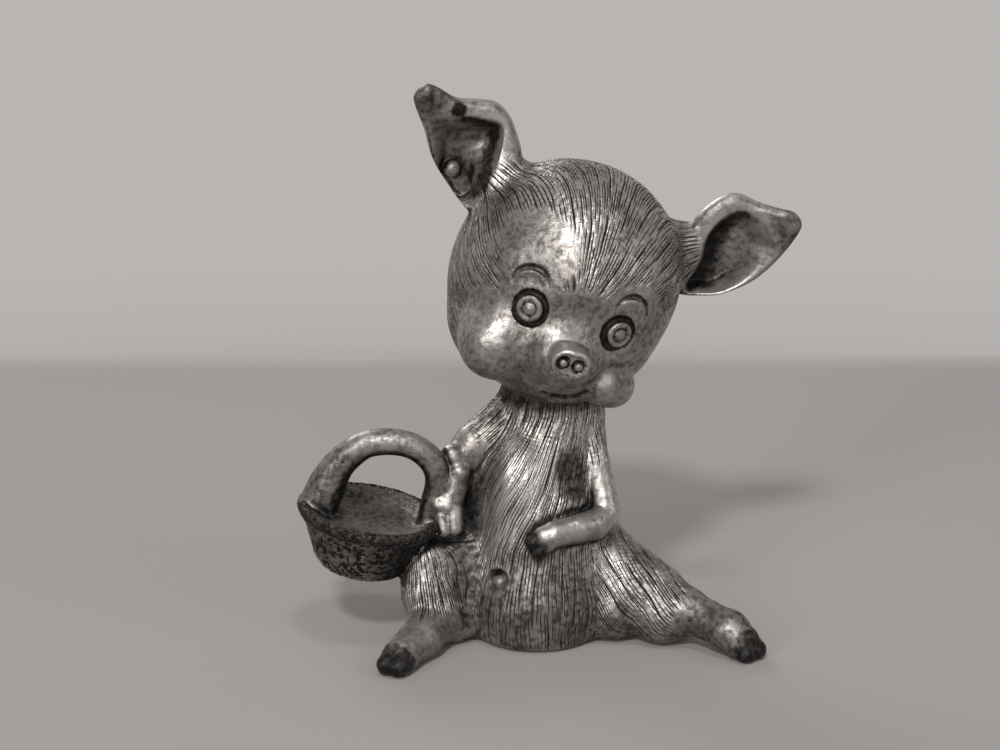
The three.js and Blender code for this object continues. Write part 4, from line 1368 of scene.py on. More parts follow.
@dataclass
class Caster:
    """Turns a distance field into a closed mesh."""

    voxel: float = 0.155
    block: int = 8
    batch: int = 400_000
    half_diagonal: float = 0.87
    spare: float = 1.7
    least_slope: float = 0.2
    most_push: float = 0.6

    def evaluate(self, distance: Field, points: Array) -> Array:
        """Measure many points in batches."""
        return np.concatenate([distance(points[i : i + self.batch]) for i in range(0, len(points), self.batch)])

    def grid(self, distance: Field, low: Array, high: Array) -> Array:
        """Fill a grid with distances, finely only where the skin can be.

        Args:
            distance: Signed distances in millimetres.
            low: Lowest corner of the grid.
            high: Highest corner of the grid.

        Returns:
            Distances by x, y and z.
        """
        size = self.voxel * self.block
        counts = np.ceil((high - low) / size).astype(int)
        axes = [low[k] + size * (np.arange(counts[k]) + 0.5) for k in range(3)]
        middles = np.stack(np.meshgrid(*axes, indexing="ij"), -1).reshape(-1, 3).astype(np.float32)
        coarse = self.evaluate(distance, middles)
        active = np.abs(coarse) < self.half_diagonal * size * self.spare
        values = np.repeat(np.sign(coarse)[:, None], self.block**3, axis=1).astype(np.float32)
        offsets = (np.arange(self.block) + 0.5) * self.voxel - size / 2.0
        inner = np.stack(np.meshgrid(offsets, offsets, offsets, indexing="ij"), -1).reshape(-1, 3)
        fine = (middles[active][:, None, :] + inner[None].astype(np.float32)).reshape(-1, 3)
        values[active] = self.evaluate(distance, fine).reshape(-1, self.block**3)
        cube = values.reshape(*counts, self.block, self.block, self.block)
        return cube.transpose(0, 3, 1, 4, 2, 5).reshape(counts * self.block)

    def slopes(self, distance: Field, points: Array, reach: float = 0.05) -> tuple[Array, Array]:
        """Measure the field and its slope at points, from the corners of a small tetrahedron.

        Args:
            distance: Signed distances in millimetres.
            points: Points to measure at.
            reach: Size of the tetrahedron.

        Returns:
            Mean distances and slopes.
        """
        corners = np.asarray([(1, 1, 1), (1, -1, -1), (-1, 1, -1), (-1, -1, 1)], np.float32)
        values = [self.evaluate(distance, points + corner * np.float32(reach)) for corner in corners]
        slope = sum(value[:, None] * corner for value, corner in zip(values, corners)) / (4.0 * reach)
        return sum(values) / 4.0, slope

    def cast(self, distance: Field, low: Array, high: Array) -> tuple[Array, Array]:
        """Cast a field.

        Args:
            distance: Signed distances in millimetres.
            low: Lowest corner of the space to look at.
            high: Highest corner of the space to look at.

        Returns:
            Vertices in millimetres, and quads that face outward.
        """
        values = self.grid(distance, low, high)
        volume = openvdb.FloatGrid(1.0)
        volume.copyFromArray(np.clip(values, -1.0, 1.0))
        cells, quads = self.largest_shell(*volume.convertToQuads(0.0))
        points = (low + (cells + 0.5) * self.voxel).astype(np.float32)
        value, slope = self.slopes(distance, points)
        push = value[:, None] * slope / np.maximum((slope**2).sum(1), self.least_slope)[:, None]
        most = self.most_push * self.voxel
        points = points - np.clip(push, -most, most).astype(np.float32)
        return points, self.outward(points, quads)

    @staticmethod
    def largest_shell(cells: Array, quads: Array) -> tuple[Array, Array]:
        """Drop crumbs that lie beside the largest shell.

        Args:
            cells: Vertices of all shells.
            quads: Faces of all shells.

        Returns:
            Vertices and faces of the largest shell.
        """
        label = np.arange(len(cells))
        while True:
            lowest = label.copy()
            np.minimum.at(lowest, quads.ravel(), np.repeat(label[quads].min(1), 4))
            lowest = lowest[lowest]
            if np.array_equal(lowest, label):
                break
            label = lowest
        kept = label == np.bincount(label).argmax()
        number = np.cumsum(kept) - 1
        return cells[kept], number[quads[kept[quads[:, 0]]]]

    @staticmethod
    def outward(points: Array, quads: Array) -> Array:
        """Turn quads round if they face inward.

        Args:
            points: Vertices.
            quads: Faces.

        Returns:
            Faces that face outward.
        """
        a, b, c, d = (points[corner].astype(float) for corner in quads.T)
        volume = np.einsum("ij,ij->i", a, np.cross(b, c) + np.cross(c, d)).sum()
        return quads if volume > 0 else quads[:, ::-1]


def linked(name: str, data: bpy.types.ID) -> bpy.types.Object:
    """Make an object from its data and put it into the scene.

    Args:
        name: The object's name.
        data: Its mesh, camera or light.

    Returns:
        The object.
    """
    made = bpy.data.objects.new(name, data)
    bpy.context.scene.collection.objects.link(made)
    return made


@dataclass
class Piece:
    """A cast mesh with its attributes, ready to be dressed."""

    name: str
    node: str
    slot: Slot
    points: Array
    quads: Array
    attributes: dict[str, Array]

    def object(self, origin: Vector) -> bpy.types.Object:
        """Make the Blender object.

        Args:
            origin: Place of the torso's axis on the floor, in metres.

        Returns:
            The object, linked to the scene.
        """
        mesh = bpy.data.meshes.new(self.name)
        count = len(self.quads)
        mesh.vertices.add(len(self.points))
        mesh.vertices.foreach_set("co", (self.points * MM + np.asarray(origin)).astype(np.float32).ravel())
        mesh.loops.add(4 * count)
        mesh.loops.foreach_set("vertex_index", self.quads.astype(np.int32).ravel())
        mesh.polygons.add(count)
        mesh.polygons.foreach_set("loop_start", np.arange(count, dtype=np.int32) * 4)
        mesh.polygons.foreach_set("use_smooth", np.ones(count, bool))
        mesh.update(calc_edges=True)
        mesh.validate()
        for label, values in self.attributes.items():
            layer = mesh.attributes.new(label, "FLOAT", "POINT")
            layer.data.foreach_set("value", np.ascontiguousarray(values, np.float32))
        return linked(self.name, mesh)


# Node graphs


class Wire:
    """A node's output that can be used in sums."""

    def __init__(self, graph: "Graph", socket: bpy.types.NodeSocket) -> None:
        """Wrap an output of a graph."""
        self.graph = graph
        self.socket = socket

    def __add__(self, other: "Wire | float") -> "Wire":
        """Add a value."""
        return self.graph.math("ADD", self, other)

    def __radd__(self, other: float) -> "Wire":
        """Add to a number."""
        return self.graph.math("ADD", other, self)

    def __sub__(self, other: "Wire | float") -> "Wire":
        """Take a value away."""
        return self.graph.math("SUBTRACT", self, other)

    def __rsub__(self, other: float) -> "Wire":
        """Take away from a number."""
        return self.graph.math("SUBTRACT", other, self)

    def __mul__(self, other: "Wire | float") -> "Wire":
        """Multiply by a value."""
        return self.graph.math("MULTIPLY", self, other)

    def __rmul__(self, other: float) -> "Wire":
        """Multiply a number."""
        return self.graph.math("MULTIPLY", other, self)

    def __truediv__(self, other: "Wire | float") -> "Wire":
        """Divide by a value."""
        return self.graph.math("DIVIDE", self, other)

    def __rtruediv__(self, other: float) -> "Wire":
        """Divide a number."""
        return self.graph.math("DIVIDE", other, self)

    def __neg__(self) -> "Wire":
        """Turn the sign."""
        return self.graph.math("MULTIPLY", self, -1.0)

    def at_most(self, other: "Wire | float") -> "Wire":
        """Take the smaller value."""
        return self.graph.math("MINIMUM", self, other)

    def at_least(self, other: "Wire | float") -> "Wire":
        """Take the larger value."""
        return self.graph.math("MAXIMUM", self, other)

    def rising(self, low: "Wire | float", high: "Wire | float") -> "Wire":
        """Rise smoothly from 0 at low to 1 at high."""
        sockets = {"Value": self, "From Min": low, "From Max": high}
        return self.graph.add("ShaderNodeMapRange", {"interpolation_type": "SMOOTHSTEP"}, sockets)


class Graph:
    """A node tree that is built by calls."""

    def __init__(self, tree: bpy.types.NodeTree) -> None:
        """Wrap a node tree."""
        self.tree = tree

    def node(self, kind: str, settings: dict[str, object], sockets: dict[str | int, object]) -> bpy.types.Node:
        """Add a node.

        Args:
            kind: The node's type name.
            settings: Properties to set on it.
            sockets: Values or wires for its inputs, by name or number.

        Returns:
            The node.
        """
        made = self.tree.nodes.new(kind)
        for key, value in settings.items():
            setattr(made, key, value)
        for key, value in sockets.items():
            self.feed(made.inputs[key], value)
        return made

    def feed(self, socket: bpy.types.NodeSocket, value: object) -> None:
        """Link a wire to a socket, or set the socket's own value.

        Args:
            socket: An input.
            value: A wire or a plain value.
        """
        if isinstance(value, Wire):
            self.tree.links.new(value.socket, socket)
        else:
            socket.default_value = value

    def add(
        self, kind: str, settings: dict[str, object], sockets: dict[str | int, object], output: str | int = 0
    ) -> Wire:
        """Add a node and give one of its outputs."""
        return Wire(self, self.node(kind, settings, sockets).outputs[output])

    def math(self, operation: str, *values: object) -> Wire:
        """Add a maths node."""
        return self.add("ShaderNodeMath", {"operation": operation}, dict(enumerate(values)))

    def noise(self, place: Wire, seed: Wire | float, scale: Wire | float, detail: float = 2.0) -> Wire:
        """Add a noise that a seed varies.

        Args:
            place: Where to read it.
            seed: Number that varies it.
            scale: Waves in each metre.
            detail: How many finer waves ride on the first.

        Returns:
            Values round a half.
        """
        sockets = {"Vector": place, "W": seed, "Scale": scale, "Detail": detail}
        return self.add("ShaderNodeTexNoise", {"noise_dimensions": "4D"}, sockets)

    def plain_noise(self, place: Wire, scale: float, detail: float) -> Wire:
        """Add a noise that is the same on every casting."""
        return self.add("ShaderNodeTexNoise", {}, {"Vector": place, "Scale": scale, "Detail": detail})

    def painted(self, label: str) -> Wire:
        """Read a casting's attribute in a finish."""
        return self.add("ShaderNodeAttribute", {"attribute_name": label}, {}, "Fac")

    def show(self, shader: bpy.types.Node, kind: str) -> None:
        """Send a shader to an output of the kind."""
        self.tree.links.new(shader.outputs[0], self.node(kind, {}, {}).inputs["Surface"])

    def mixed(self, factor: object, a: object, b: object) -> Wire:
        """Mix two colours.

        Args:
            factor: Share of the second colour.
            a: First colour.
            b: Second colour.

        Returns:
            The mixed colour.
        """
        made = self.node("ShaderNodeMix", {"data_type": "RGBA", "clamp_factor": True}, {"Factor": factor})
        colours_in = [s for s in made.inputs if s.type == "RGBA"]
        self.feed(colours_in[0], a)
        self.feed(colours_in[1], b)
        return Wire(self, next(s for s in made.outputs if s.type == "RGBA"))


class Engraving:
    """A Geometry Nodes tree with named inputs that carves a casting's skin."""

    def __init__(self, name: str, cut: dict[str, float]) -> None:
        """Start the tree.

        Args:
            name: The tree's name.
            cut: Usual values of its inputs, by name.
        """
        self.tree = bpy.data.node_groups.new(name, "GeometryNodeTree")
        self.tree.interface.new_socket("Geometry", in_out="INPUT", socket_type="NodeSocketGeometry")
        for label, value in cut.items():
            self.tree.interface.new_socket(label, in_out="INPUT", socket_type="NodeSocketFloat").default_value = value
        self.tree.interface.new_socket("Seed", in_out="INPUT", socket_type="NodeSocketInt")
        self.tree.interface.new_socket("Material", in_out="INPUT", socket_type="NodeSocketMaterial")
        self.tree.interface.new_socket("Geometry", in_out="OUTPUT", socket_type="NodeSocketGeometry")
        self.graph = Graph(self.tree)
        self.entry = self.tree.nodes.new("NodeGroupInput")
        self.exit = self.tree.nodes.new("NodeGroupOutput")

    def input(self, label: str) -> Wire:
        """Give one of the tree's inputs."""
        return Wire(self.graph, self.entry.outputs[label])

    def attribute(self, label: str) -> Wire:
        """Read a named attribute of the casting."""
        return self.graph.add("GeometryNodeInputNamedAttribute", {"data_type": "FLOAT"}, {"Name": label})

    def close(self, groove: Wire, depth: Wire) -> None:
        """Sink the skin by the groove, keep the groove as an attribute and set the material.

        Args:
            groove: Share of the full depth.
            depth: Full depth in metres.
        """
        g = self.graph
        normal = g.add("GeometryNodeInputNormal", {}, {})
        shift = g.add("ShaderNodeVectorMath", {"operation": "SCALE"}, {0: normal, "Scale": -(groove * depth)})
        kept = g.add(
            "GeometryNodeStoreNamedAttribute",
            {"data_type": "FLOAT", "domain": "POINT"},
            {"Geometry": self.input("Geometry"), "Name": "groove", "Value": groove},
        )
        sunk = g.add("GeometryNodeSetPosition", {}, {"Geometry": kept, "Offset": shift})
        whole = g.add("GeometryNodeRealizeInstances", {}, {"Geometry": sunk})
        done = g.add("GeometryNodeSetMaterial", {}, {"Geometry": whole, "Material": self.input("Material")})
        g.feed(self.exit.inputs["Geometry"], done)

    def apply(
        self, piece: bpy.types.Object, material: bpy.types.Material, cut: dict[str, float], seed: int
    ) -> None:
        """Carve one casting and keep the result as its plain mesh.

        Args:
            piece: The casting.
            material: Its finish.
            cut: The tree's inputs, by name.
            seed: Number that varies the carving.
        """
        modifier = piece.modifiers.new(self.tree.name, "NODES")
        modifier.node_group = self.tree
        values = {**cut, "Seed": seed, "Material": material}
        for item in self.tree.interface.items_tree:
            if item.in_out == "INPUT" and item.name in values:
                modifier[item.identifier] = values[item.name]
        bpy.context.view_layer.update()
        carved = piece.evaluated_get(bpy.context.evaluated_depsgraph_get())
        mesh = bpy.data.meshes.new_from_object(carved)
        piece.modifiers.clear()
        old = piece.data
        piece.data = mesh
        bpy.data.meshes.remove(old)


# How each engraving is cut: depths and sizes in millimetres
HAIR_CUT = {"Depth": 0.13, "Clump": 0.2, "Grain": 0.12}
BOWL_CUT = {"Depth": 0.14, "Size": 0.42, "Cover": 0.46}
HANDLE_CUT = {"Depth": 0.05, "Size": 0.9, "Cover": 0.58}


@dataclass(frozen=True)
class HairLine:
    """The graver's lines: fine ones, and bold ones that drift across them. Sizes are in millimetres."""

    spacing: float = 0.28
    width: float = 0.072
    stroke: float = 5.0
    bold_spacing: float = 1.3
    bold_width: float = 0.1
    bold_stroke: float = 8.0
    sway: float = 0.12
    sway_scale: float = 330.0
    drift: float = 0.7
    drift_scale: float = 110.0
    fine_depth: float = 0.92
    ends: float = 0.25
    seed: float = 3.0

    def groove(self, g: Graph, place: Wire, turns: Wire, level: Wire, along: Wire) -> Wire:
        """Draw the grooves with nodes.

        Args:
            g: Graph of a skin or a finish.
            place: Point on the casting, in metres.
            turns: Turns of the hair's flow there.
            level: Power of two of the millimetres between whole turns.
            along: Way along the hair in millimetres.

        Returns:
            A wire that is 1 in the middle of a groove and 0 between grooves.
        """
        sway = g.noise(place, self.seed, self.sway_scale, 1.0)
        drift = g.noise(place, self.seed + 2.0, self.drift_scale, 1.0)
        reach = g.math("POWER", 2.0, level)
        near = turns + (sway - 0.5) * (2.0 * self.sway) / reach
        fine = self.lines(g, near, level, along, self.spacing, self.width, self.stroke, self.seed)
        wide = near + (drift - 0.5) * (2.0 * self.drift) / reach
        bold = self.lines(g, wide, level, along, self.bold_spacing, self.bold_width, self.bold_stroke, self.seed + 5.0)
        return (fine * self.fine_depth).at_least(bold)

    def lines(
        self, g: Graph, turns: Wire, level: Wire, along: Wire, spacing: float, width: float, stroke: float, seed: float
    ) -> Wire:
        """Draw lines that part in two where they would lie too far apart.

        Args:
            g: Graph of a skin or a finish.
            turns: Turns of the hair's flow.
            level: Power of two of the millimetres between whole turns.
            along: Way along the hair in millimetres.
            spacing: Least distance between lines.
            width: Half width of a line.
            stroke: Length of a stroke.
            seed: Number that varies the strokes.

        Returns:
            A wire that is up to 1 in the middle of a line and 0 between lines.
        """
        depth = level - math.log2(spacing)
        whole = g.math("FLOOR", depth)
        part = depth - whole
        scale = g.math("POWER", 2.0, whole)
        half = (width / spacing) / g.math("POWER", 2.0, part)
        made = [self.strokes(g, turns * scale, shift, scale, half, along, stroke, seed) for shift in (0.0, 0.5)]
        return made[0].at_least(made[1] * part.rising(0.1, 0.9))

    def strokes(
        self, g: Graph, way: Wire, shift: float, scale: Wire, half: Wire, along: Wire, stroke: float, seed: float
    ) -> Wire:
        """Draw one set of strokes that taper at both ends.

        Args:
            g: Graph of a skin or a finish.
            way: Line value, whole on each line of the first set.
            shift: Where this set lies between whole values.
            scale: Lines in each turn.
            half: Half width of a line, in lines.
            along: Way along the hair in millimetres.
            stroke: Length of a stroke in millimetres.
            seed: Number that varies the strokes.

        Returns:
            A wire that is up to 1 in the middle of a stroke and 0 between strokes.
        """
        number = g.math("ROUND", way + shift) - shift
        aside = g.math("ABSOLUTE", way - number)
        mark = number / scale
        course = along / stroke + self.chance(g, mark, seed) * 9.0
        part = g.math("FLOOR", course)
        share = course - part
        taper = share.rising(0.0, self.ends) * (1.0 - share).rising(0.0, self.ends)
        force = self.chance(g, mark * 3.7, part * 1.3 + seed)
        return aside.rising(half * (0.4 + 0.6 * taper), half * 0.15) * taper * force.rising(-0.7, 0.6)

    @staticmethod
    def chance(g: Graph, a: Wire, b: Wire | float) -> Wire:
        """Draw a fixed random value for a pair of values."""
        pair = g.add("ShaderNodeCombineXYZ", {}, {0: a, 1: b})
        return g.add("ShaderNodeTexWhiteNoise", {"noise_dimensions": "2D"}, {"Vector": pair})


class HairEngraving(Engraving):
    """Grooves that follow the strands of a casting's flow."""

    def __init__(self, line: HairLine) -> None:
        """Build the tree from the graver's lines.

        Args:
            line: The lines to cut.
        """
        super().__init__("engraved_hair", HAIR_CUT)
        g = self.graph
        place = g.add("GeometryNodeInputPosition", {}, {})
        turns, level, hair = self.attribute("turns"), self.attribute("level"), self.attribute("hair")
        groove = line.groove(g, place, turns, level, self.attribute("along"))
        sway = g.noise(place, self.input("Seed"), 240.0)
        grain = g.noise(place, self.input("Seed"), 2300.0)
        clump = g.math("SINE", turns * 2.6 + sway * 9.0) * self.input("Clump")
        speck = (grain - 0.5) * self.input("Grain") * 2.0
        self.close((groove + clump) * hair + speck, self.input("Depth") * MM)


class PitEngraving(Engraving):
    """Coarse casting pits."""

    def __init__(self) -> None:
        """Build the tree."""
        super().__init__("casting_pits", BOWL_CUT)
        g = self.graph
        place = g.add("GeometryNodeInputPosition", {}, {})
        fine = 1.0 / (self.input("Size") * MM)
        coarse = g.noise(place, self.input("Seed"), fine, 3.0)
        broken = g.noise(place, self.input("Seed") + 7.0, fine * 2.3, 2.0)
        pits = (coarse * 0.65 + broken * 0.35).rising(self.input("Cover") - 0.02, self.input("Cover") + 0.16)
        self.close(pits * self.attribute("hair"), self.input("Depth") * MM)


# Finishes


def blank_material(name: str) -> tuple[bpy.types.Material, Graph]:
    """Start a material.

    Args:
        name: The material's name.

    Returns:
        The material and its empty graph.
    """
    made = bpy.data.materials.new(name)
    made.use_nodes = True
    made.node_tree.nodes.clear()
    return made, Graph(made.node_tree)


@dataclass(frozen=True)
class PewterFinish:
    """Antiqued pewter: rubbed metal with painted highlights, dark patina in its grooves and hollows, and painted shade.
    """

    name: str
    line: HairLine | None = None
    bright: Colour = (0.68, 0.645, 0.615)
    stained: Colour = (0.2, 0.182, 0.165)
    patina: Colour = (0.007, 0.006, 0.0055)
    smooth: float = 0.33
    rough: float = 0.5
    stain: float = 0.95
    grime: float = 1.0

    def material(self) -> bpy.types.Material:
        """Build the material.

        Returns:
            The material.
        """
        made, g = blank_material(self.name)
        place = g.add("ShaderNodeTexCoord", {}, {}, "Object")
        blotch = g.plain_noise(place, 210.0, 5.0).rising(0.34, 0.66)
        speckle = g.plain_noise(place, 1900.0, 4.0).rising(0.42, 0.66)
        pits = g.plain_noise(place, 4200.0, 2.0).rising(0.58, 0.72)
        # rubbed wear and painted highlights lighten the metal
        wear_and_sheen = g.painted("wear_and_sheen")
        groove = g.painted("groove").rising(0.1, 0.8)
        if self.line:
            drawn = self.line.groove(g, place, g.painted("turns"), g.painted("level"), g.painted("along"))
            groove = drawn * g.painted("hair") * g.painted("fine")
        stain = ((0.22 + blotch * 0.5 + speckle * 0.4) * self.stain * (1.0 - 0.8 * wear_and_sheen)).at_most(1.0)
        # hollow: patina, with painted shade in nooks and under parts
        hollow = g.painted("hollow") * (0.82 + speckle * 0.35)
        dark = (groove.rising(0.05, 0.7) * self.grime).at_least(hollow).at_least(pits * 0.5 * (1.0 - wear_and_sheen)).at_most(1.0)
        dark = dark * (2.0 - dark)
        metal = g.mixed(stain, (*self.bright, 1.0), (*self.stained, 1.0))
        colour = g.mixed(dark * 0.99, metal, (*self.patina, 1.0))
        dull = (0.35 * blotch + 0.35 * speckle + 0.4 * dark).at_most(1.0)
        roughness = self.smooth + (self.rough - self.smooth) * dull
        fine_grain, coarse_grain = g.plain_noise(place, 5200.0, 3.0), g.plain_noise(place, 1500.0, 3.0)
        grain = fine_grain * 0.45 + coarse_grain * 0.75 - groove * 1.1
        bump = g.add("ShaderNodeBump", {}, {"Strength": 0.6, "Distance": 0.0001, "Height": grain})
        sockets = {
            "Base Color": colour,
            "Metallic": 1.0 - 0.7 * dark,
            "Roughness": roughness,
            "Specular IOR Level": 0.2,
            "Normal": bump,
        }
        g.show(g.node("ShaderNodeBsdfPrincipled", {}, sockets), "ShaderNodeOutputMaterial")
        return made


@dataclass(frozen=True)
class FloorFinish:
    """A matt floor that grows paler at its far edge."""

    name: str
    colour: Colour
    far_colour: Colour
    edge: float
    fade: float = 0.009
    roughness: float = 0.95

    def material(self) -> bpy.types.Material:
        """Build the material.

        Returns:
            The material.
        """
        made, g = blank_material(self.name)
        parts = g.node("ShaderNodeSeparateXYZ", {}, {"Vector": g.add("ShaderNodeTexCoord", {}, {}, "Object")})
        far = Wire(g, parts.outputs["Y"]).rising(self.edge - self.fade, self.edge + 0.3 * self.fade)
        colour = g.mixed(far, (*self.colour, 1.0), (*self.far_colour, 1.0))
        sockets = {"Base Color": colour, "Roughness": self.roughness, "Specular IOR Level": 0.15}
        g.show(g.node("ShaderNodeBsdfPrincipled", {}, sockets), "ShaderNodeOutputMaterial")
        return made


# Studio


@dataclass(frozen=True)
class Lamp:
    """A soft round lamp. Its place is in millimetres from the torso's axis on the floor."""

    name: str
    place: Point
    size: float
    power: float
    colour: Colour = (1.0, 0.985, 0.97)
    aim: Point = (0.0, 0.0, 22.0)

    def hang(self, origin: Vector) -> None:
        """Hang the lamp so that it points at the figure.

        Args:
            origin: Place of the torso's axis on the floor, in metres.
        """
        data = bpy.data.lights.new(self.name, "AREA")
        data.shape = "DISK"
        data.size = self.size * MM
        data.energy = self.power
        data.color = self.colour
        made = linked(self.name, data)
        made.location = origin + Vector(self.place) * MM
        way = origin + Vector(self.aim) * MM - made.location
        made.rotation_euler = way.to_track_quat("-Z", "Y").to_euler()


LAMPS = (
    Lamp("key", (-154.0, -727.0, 742.0), 120.0, 5.4),
    Lamp("top", (90.0, -330.0, 1040.0), 160.0, 1.8),
    Lamp("window", (-560.0, -780.0, 360.0), 240.0, 2.4),
    Lamp("front", (60.0, -1000.0, 340.0), 220.0, 1.6),
    Lamp("fill", (760.0, -420.0, 420.0), 500.0, 1.0, (0.97, 0.98, 1.0)),
    Lamp("rim", (-420.0, 640.0, 620.0), 420.0, 2.2, (1.0, 1.0, 1.0)),
)


@dataclass
class Studio:
    """The camera, the pale floor and the lights."""

    origin: Vector
    target: Point = (-3.27, 0.0, 23.35)
    elevation: float = 15.0
    distance: float = 190.0
    lens: float = 75.24
    sensor: float = 36.0
    nearest: float = 0.005
    farthest: float = 20.0
    floor_colour: Colour = (0.325, 0.306, 0.295)
    far_colour: Colour = (0.42, 0.397, 0.383)
    dusk_colour: Colour = (0.395, 0.372, 0.357)
    sky_colour: Colour = (0.49, 0.463, 0.443)
    room_colour: Colour = (0.085, 0.081, 0.078)
    ceiling_colour: Colour = (0.33, 0.322, 0.315)
    back_edge: float = 0.1
    floor_half: float = 2.0

    def camera(self) -> bpy.types.Object:
        """Place the camera where the photograph was taken from.

        Returns:
            The camera.
        """
        data = bpy.data.cameras.new("photo_camera")
        data.lens = self.lens
        data.sensor_width = self.sensor
        data.clip_start = self.nearest
        data.clip_end = self.farthest
        made = linked("photo_camera", data)
        tilt = math.radians(self.elevation)
        back = Vector((0.0, -math.cos(tilt), math.sin(tilt)))
        made.location = self.origin + Vector(self.target) * MM + back * self.distance * MM
        made.rotation_euler = (-back).to_track_quat("-Z", "Y").to_euler()
        bpy.context.scene.camera = made
        return made

    def floor(self) -> bpy.types.Object:
        """Lay the floor.

        Returns:
            The floor.
        """
        mesh = bpy.data.meshes.new("floor")
        half, back = self.floor_half, self.back_edge
        mesh.from_pydata([(-half, -half, 0), (half, -half, 0), (half, back, 0), (-half, back, 0)], [], [(0, 1, 2, 3)])
        made = linked("floor", mesh)
        mesh.materials.append(FloorFinish("floor_grey", self.floor_colour, self.far_colour, back).material())
        return made

    def sky(self) -> None:
        """Light the scene softly, with a pale wall behind and a dim room in front."""
        world = bpy.data.worlds.new("studio_sky")
        bpy.context.scene.world = world
        world.use_nodes = True
        world.node_tree.nodes.clear()
        g = Graph(world.node_tree)
        way = g.add("ShaderNodeTexCoord", {}, {}, "Generated")
        parts = g.node("ShaderNodeSeparateXYZ", {}, {"Vector": way})
        across, up = Wire(g, parts.outputs["Y"]), Wire(g, parts.outputs["Z"])
        room = g.mixed(up.rising(0.0, 0.9), (*self.room_colour, 1.0), (*self.ceiling_colour, 1.0))
        wall = across.rising(-0.1, 0.5) * up.rising(0.85, 0.4)
        lift = up.rising(-0.256, -0.24) * 0.6 + up.rising(-0.25, -0.2) * 0.4
        colour = g.mixed(wall, room, g.mixed(lift, (*self.dusk_colour, 1.0), (*self.sky_colour, 1.0)))
        g.show(g.node("ShaderNodeBackground", {}, {"Color": colour, "Strength": 1.0}), "ShaderNodeOutputWorld")

    def build(self) -> None:
        """Set up the studio."""
        bpy.context.scene.view_settings.view_transform = "Standard"
        self.camera()
        self.floor()
        for lamp in LAMPS:
            lamp.hang(self.origin)
        self.sky()


# The workshop


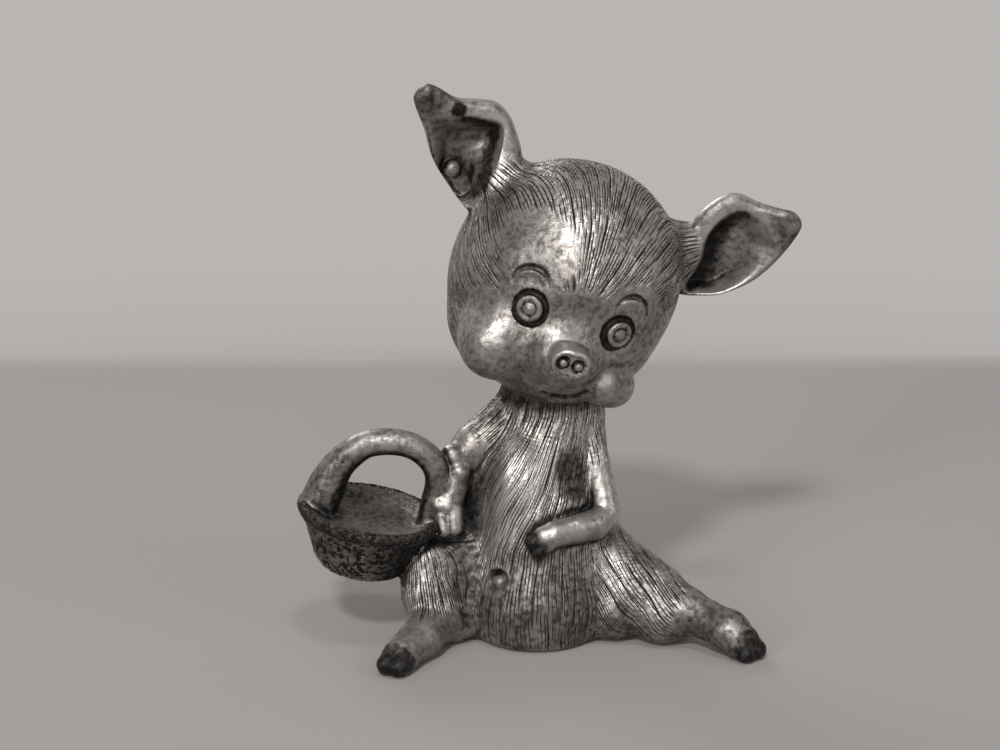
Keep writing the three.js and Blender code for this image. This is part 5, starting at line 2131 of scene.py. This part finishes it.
@dataclass
class Workshop:
    """Sculpts, casts, engraves and dresses every casting."""

    origin: Vector
    caster: Caster = field(default_factory=Caster)
    torso: Torso = field(default_factory=Torso)
    head: Head = field(default_factory=Head)
    tail: Tail = field(default_factory=Tail)
    basket: Basket = field(default_factory=Basket)
    root_fade: Flat = (13.2, 11.6)
    hollow_reaches: tuple[Flat, ...] = ((0.35, 0.25), (0.9, 0.4), (2.0, 0.35))
    worn_reach: float = 0.8
    seam_jump: float = 4.0

    def ear_root(self, ear: Ear, p: Array) -> Flow:
        """Let the head's hair run out on an ear's root.

        Args:
            ear: The ear.
            p: Points on it.

        Returns:
            The flow, with patina and painted shade in the ear's hollow.
        """
        flow = self.head.flow(p)
        away = np.linalg.norm(self.head.pose.local(p), axis=1)
        flow.amount = flow.amount * step(*self.root_fade, away)
        flow.patina_and_shade = ear.patina_and_shade(p)
        return flow

    def figure(self) -> Figure:
        """Put all castings together.

        Returns:
            The castings, in the order in which they are made.
        """
        torso, head, tail, basket = self.torso, self.head, self.tail, self.basket
        left_ear, right_ear = partial(self.ear_root, LEFT_EAR), partial(self.ear_root, RIGHT_EAR)
        castings = {
            "torso": Casting(
                torso.clay(), torso.flow, (-8.6, -9.6, -0.5), (9.2, 9.2, 24.6),
                ("head", "left_arm", "right_arm", "left_leg", "right_leg", "tail"),
            ),
            "head": Casting(
                head.clay(), head.flow, (-10.5, -15.0, 19.5), (15.5, 11.0, 44.5),
                ("left_ear", "right_ear", "torso", "left_arm", "right_arm"),
            ),
            "left_ear": Casting(LEFT_EAR.clay(), left_ear, (8.5, -4.5, 28.0), (25.0, 5.5, 42.5), ("head",)),
            "right_ear": Casting(RIGHT_EAR.clay(), right_ear, (-13.0, -4.5, 35.0), (1.5, 5.5, 52.0), ("head",)),
            "left_arm": Casting(
                LEFT_ARM.clay(), LEFT_ARM.flow, (-2.5, -11.0, 8.0), (9.0, 2.0, 22.5),
                ("torso", "head", "left_leg"),
            ),
            "right_arm": Casting(
                RIGHT_ARM.clay(), RIGHT_ARM.flow, (-11.0, -8.5, 9.0), (1.5, 3.0, 23.0),
                ("torso", "head", "right_leg", "basket_bowl", "basket_handle"),
            ),
            "left_leg": Casting(
                LEFT_LEG.clay(), LEFT_LEG.flow, (-1.5, -13.5, -0.5), (22.0, 5.5, 12.0),
                ("torso", "left_arm"),
            ),
            "right_leg": Casting(
                RIGHT_LEG.clay(), RIGHT_LEG.flow, (-15.5, -16.5, -0.5), (1.0, 2.5, 11.0),
                ("torso", "right_arm", "basket_bowl"),
            ),
            "tail": Casting(tail.clay(), tail.flow, (-3.5, 6.0, 3.5), (3.5, 11.8, 11.5), ("torso",)),
            "basket_bowl": Casting(
                basket.bowl_clay(), basket.bowl_flow, (-22.5, -12.0, 4.5), (-7.5, 3.0, 15.0),
                ("basket_handle", "right_leg", "right_arm", "torso"),
            ),
            "basket_handle": Casting(
                basket.handle_clay(), basket.handle_flow, (-22.5, -7.5, 9.0), (-6.5, -1.5, 20.5),
                ("basket_bowl", "right_arm"),
            ),
        }
        return Figure(castings)

    def cast(self, figure: Figure, name: str) -> Piece:
        """Cast one piece and measure its skin.

        Args:
            figure: All castings.
            name: The casting's node.

        Returns:
            The piece.
        """
        casting = figure.castings[name]
        points, quads = self.caster.cast(figure.skin(name), *casting.box())
        slope = self.caster.slopes(figure.surface, points)[1]
        normal = slope / np.maximum(np.linalg.norm(slope, axis=1, keepdims=True), TINY)
        shut = np.zeros(len(points))
        for reach, weight in self.hollow_reaches:
            room = self.caster.evaluate(figure.surface, (points + normal * reach).astype(np.float32))
            shut += weight * np.clip(1.0 - room / reach, 0.0, 1.0)
        round_off = self.caster.slopes(figure.surface, points, self.worn_reach)[0]
        hair = casting.flow(points)
        split = np.zeros(len(points), bool)
        for a, b in zip(quads.T, np.roll(quads, 1, axis=1).T):
            jump = np.abs(hair.turns[a] - hair.turns[b]) > self.seam_jump
            split[a[jump]] = True
            split[b[jump]] = True
        slot = Slot.ROUGH if name == "basket_bowl" else Slot.PEWTER
        attributes = {
            "turns": hair.turns,
            "level": np.log2(np.clip(hair.pitch, 0.2, 30.0)),
            "along": hair.along,
            "hair": hair.amount,
            "fine": 1.0 - split,
            # hollow: patina from how shut in each point is, with the flows' patina and painted shade
            "hollow": np.maximum(step(0.14, 0.7, shut), hair.patina_and_shade),
            # rubbed edges and spots: wear, and painted highlights
            "wear_and_sheen": np.maximum(step(0.12, 0.5, round_off), hair.wear_and_highlight) * (1.0 - hair.patina_and_shade),
        }
        return Piece(name + "_casting", name, slot, points, quads, attributes)

    @staticmethod
    def settle(item: bpy.types.Object) -> None:
        """Flatten what would dip under the floor.

        Args:
            item: The piece to settle.
        """
        places = np.empty(3 * len(item.data.vertices), np.float32)
        item.data.vertices.foreach_get("co", places)
        places[2::3] = np.maximum(places[2::3], 0.0)
        item.data.vertices.foreach_set("co", places)
        item.data.update()

    def build(self) -> list[bpy.types.Object]:
        """Make every piece of the figure.

        Returns:
            The pieces, in the order in which they were made.
        """
        figure = self.figure()
        line = HairLine()
        hair, pits = HairEngraving(line), PitEngraving()
        pewter = PewterFinish("antiqued_pewter", line).material()
        plain = PewterFinish("rubbed_pewter").material()
        rough = PewterFinish(
            "pitted_pewter", bright=(0.32, 0.3, 0.28), stained=(0.06, 0.053, 0.047), smooth=0.3, rough=0.55, grime=0.9
        ).material()
        made = []
        for seed, name in enumerate(figure.castings):
            piece = self.cast(figure, name)
            item = piece.object(self.origin)
            if piece.slot is Slot.ROUGH:
                pits.apply(item, rough, BOWL_CUT, seed)
            elif name == "basket_handle":
                pits.apply(item, plain, HANDLE_CUT, seed)
            else:
                hair.apply(item, pewter, HAIR_CUT, seed)
            self.settle(item)
            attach(item, "root")
            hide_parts(piece.node)
            made.append(item)
        return made


# From the torso's box to the axis that the sculpting starts at, in millimetres
AXIS_ASIDE = 0.08
AXIS_FORWARD = 8.46


def main() -> None:
    """Build the figure in its studio and log each piece's face count."""
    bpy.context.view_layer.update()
    low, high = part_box("torso")
    origin = Vector(((low.x + high.x) / 2.0 - AXIS_ASIDE * MM, high.y - AXIS_FORWARD * MM, 0.0))
    for piece in Workshop(origin).build():
        log.info("%s: %d faces", piece.name, len(piece.data.polygons))
    Studio(origin).build()


if __name__ == "__main__":
    main()
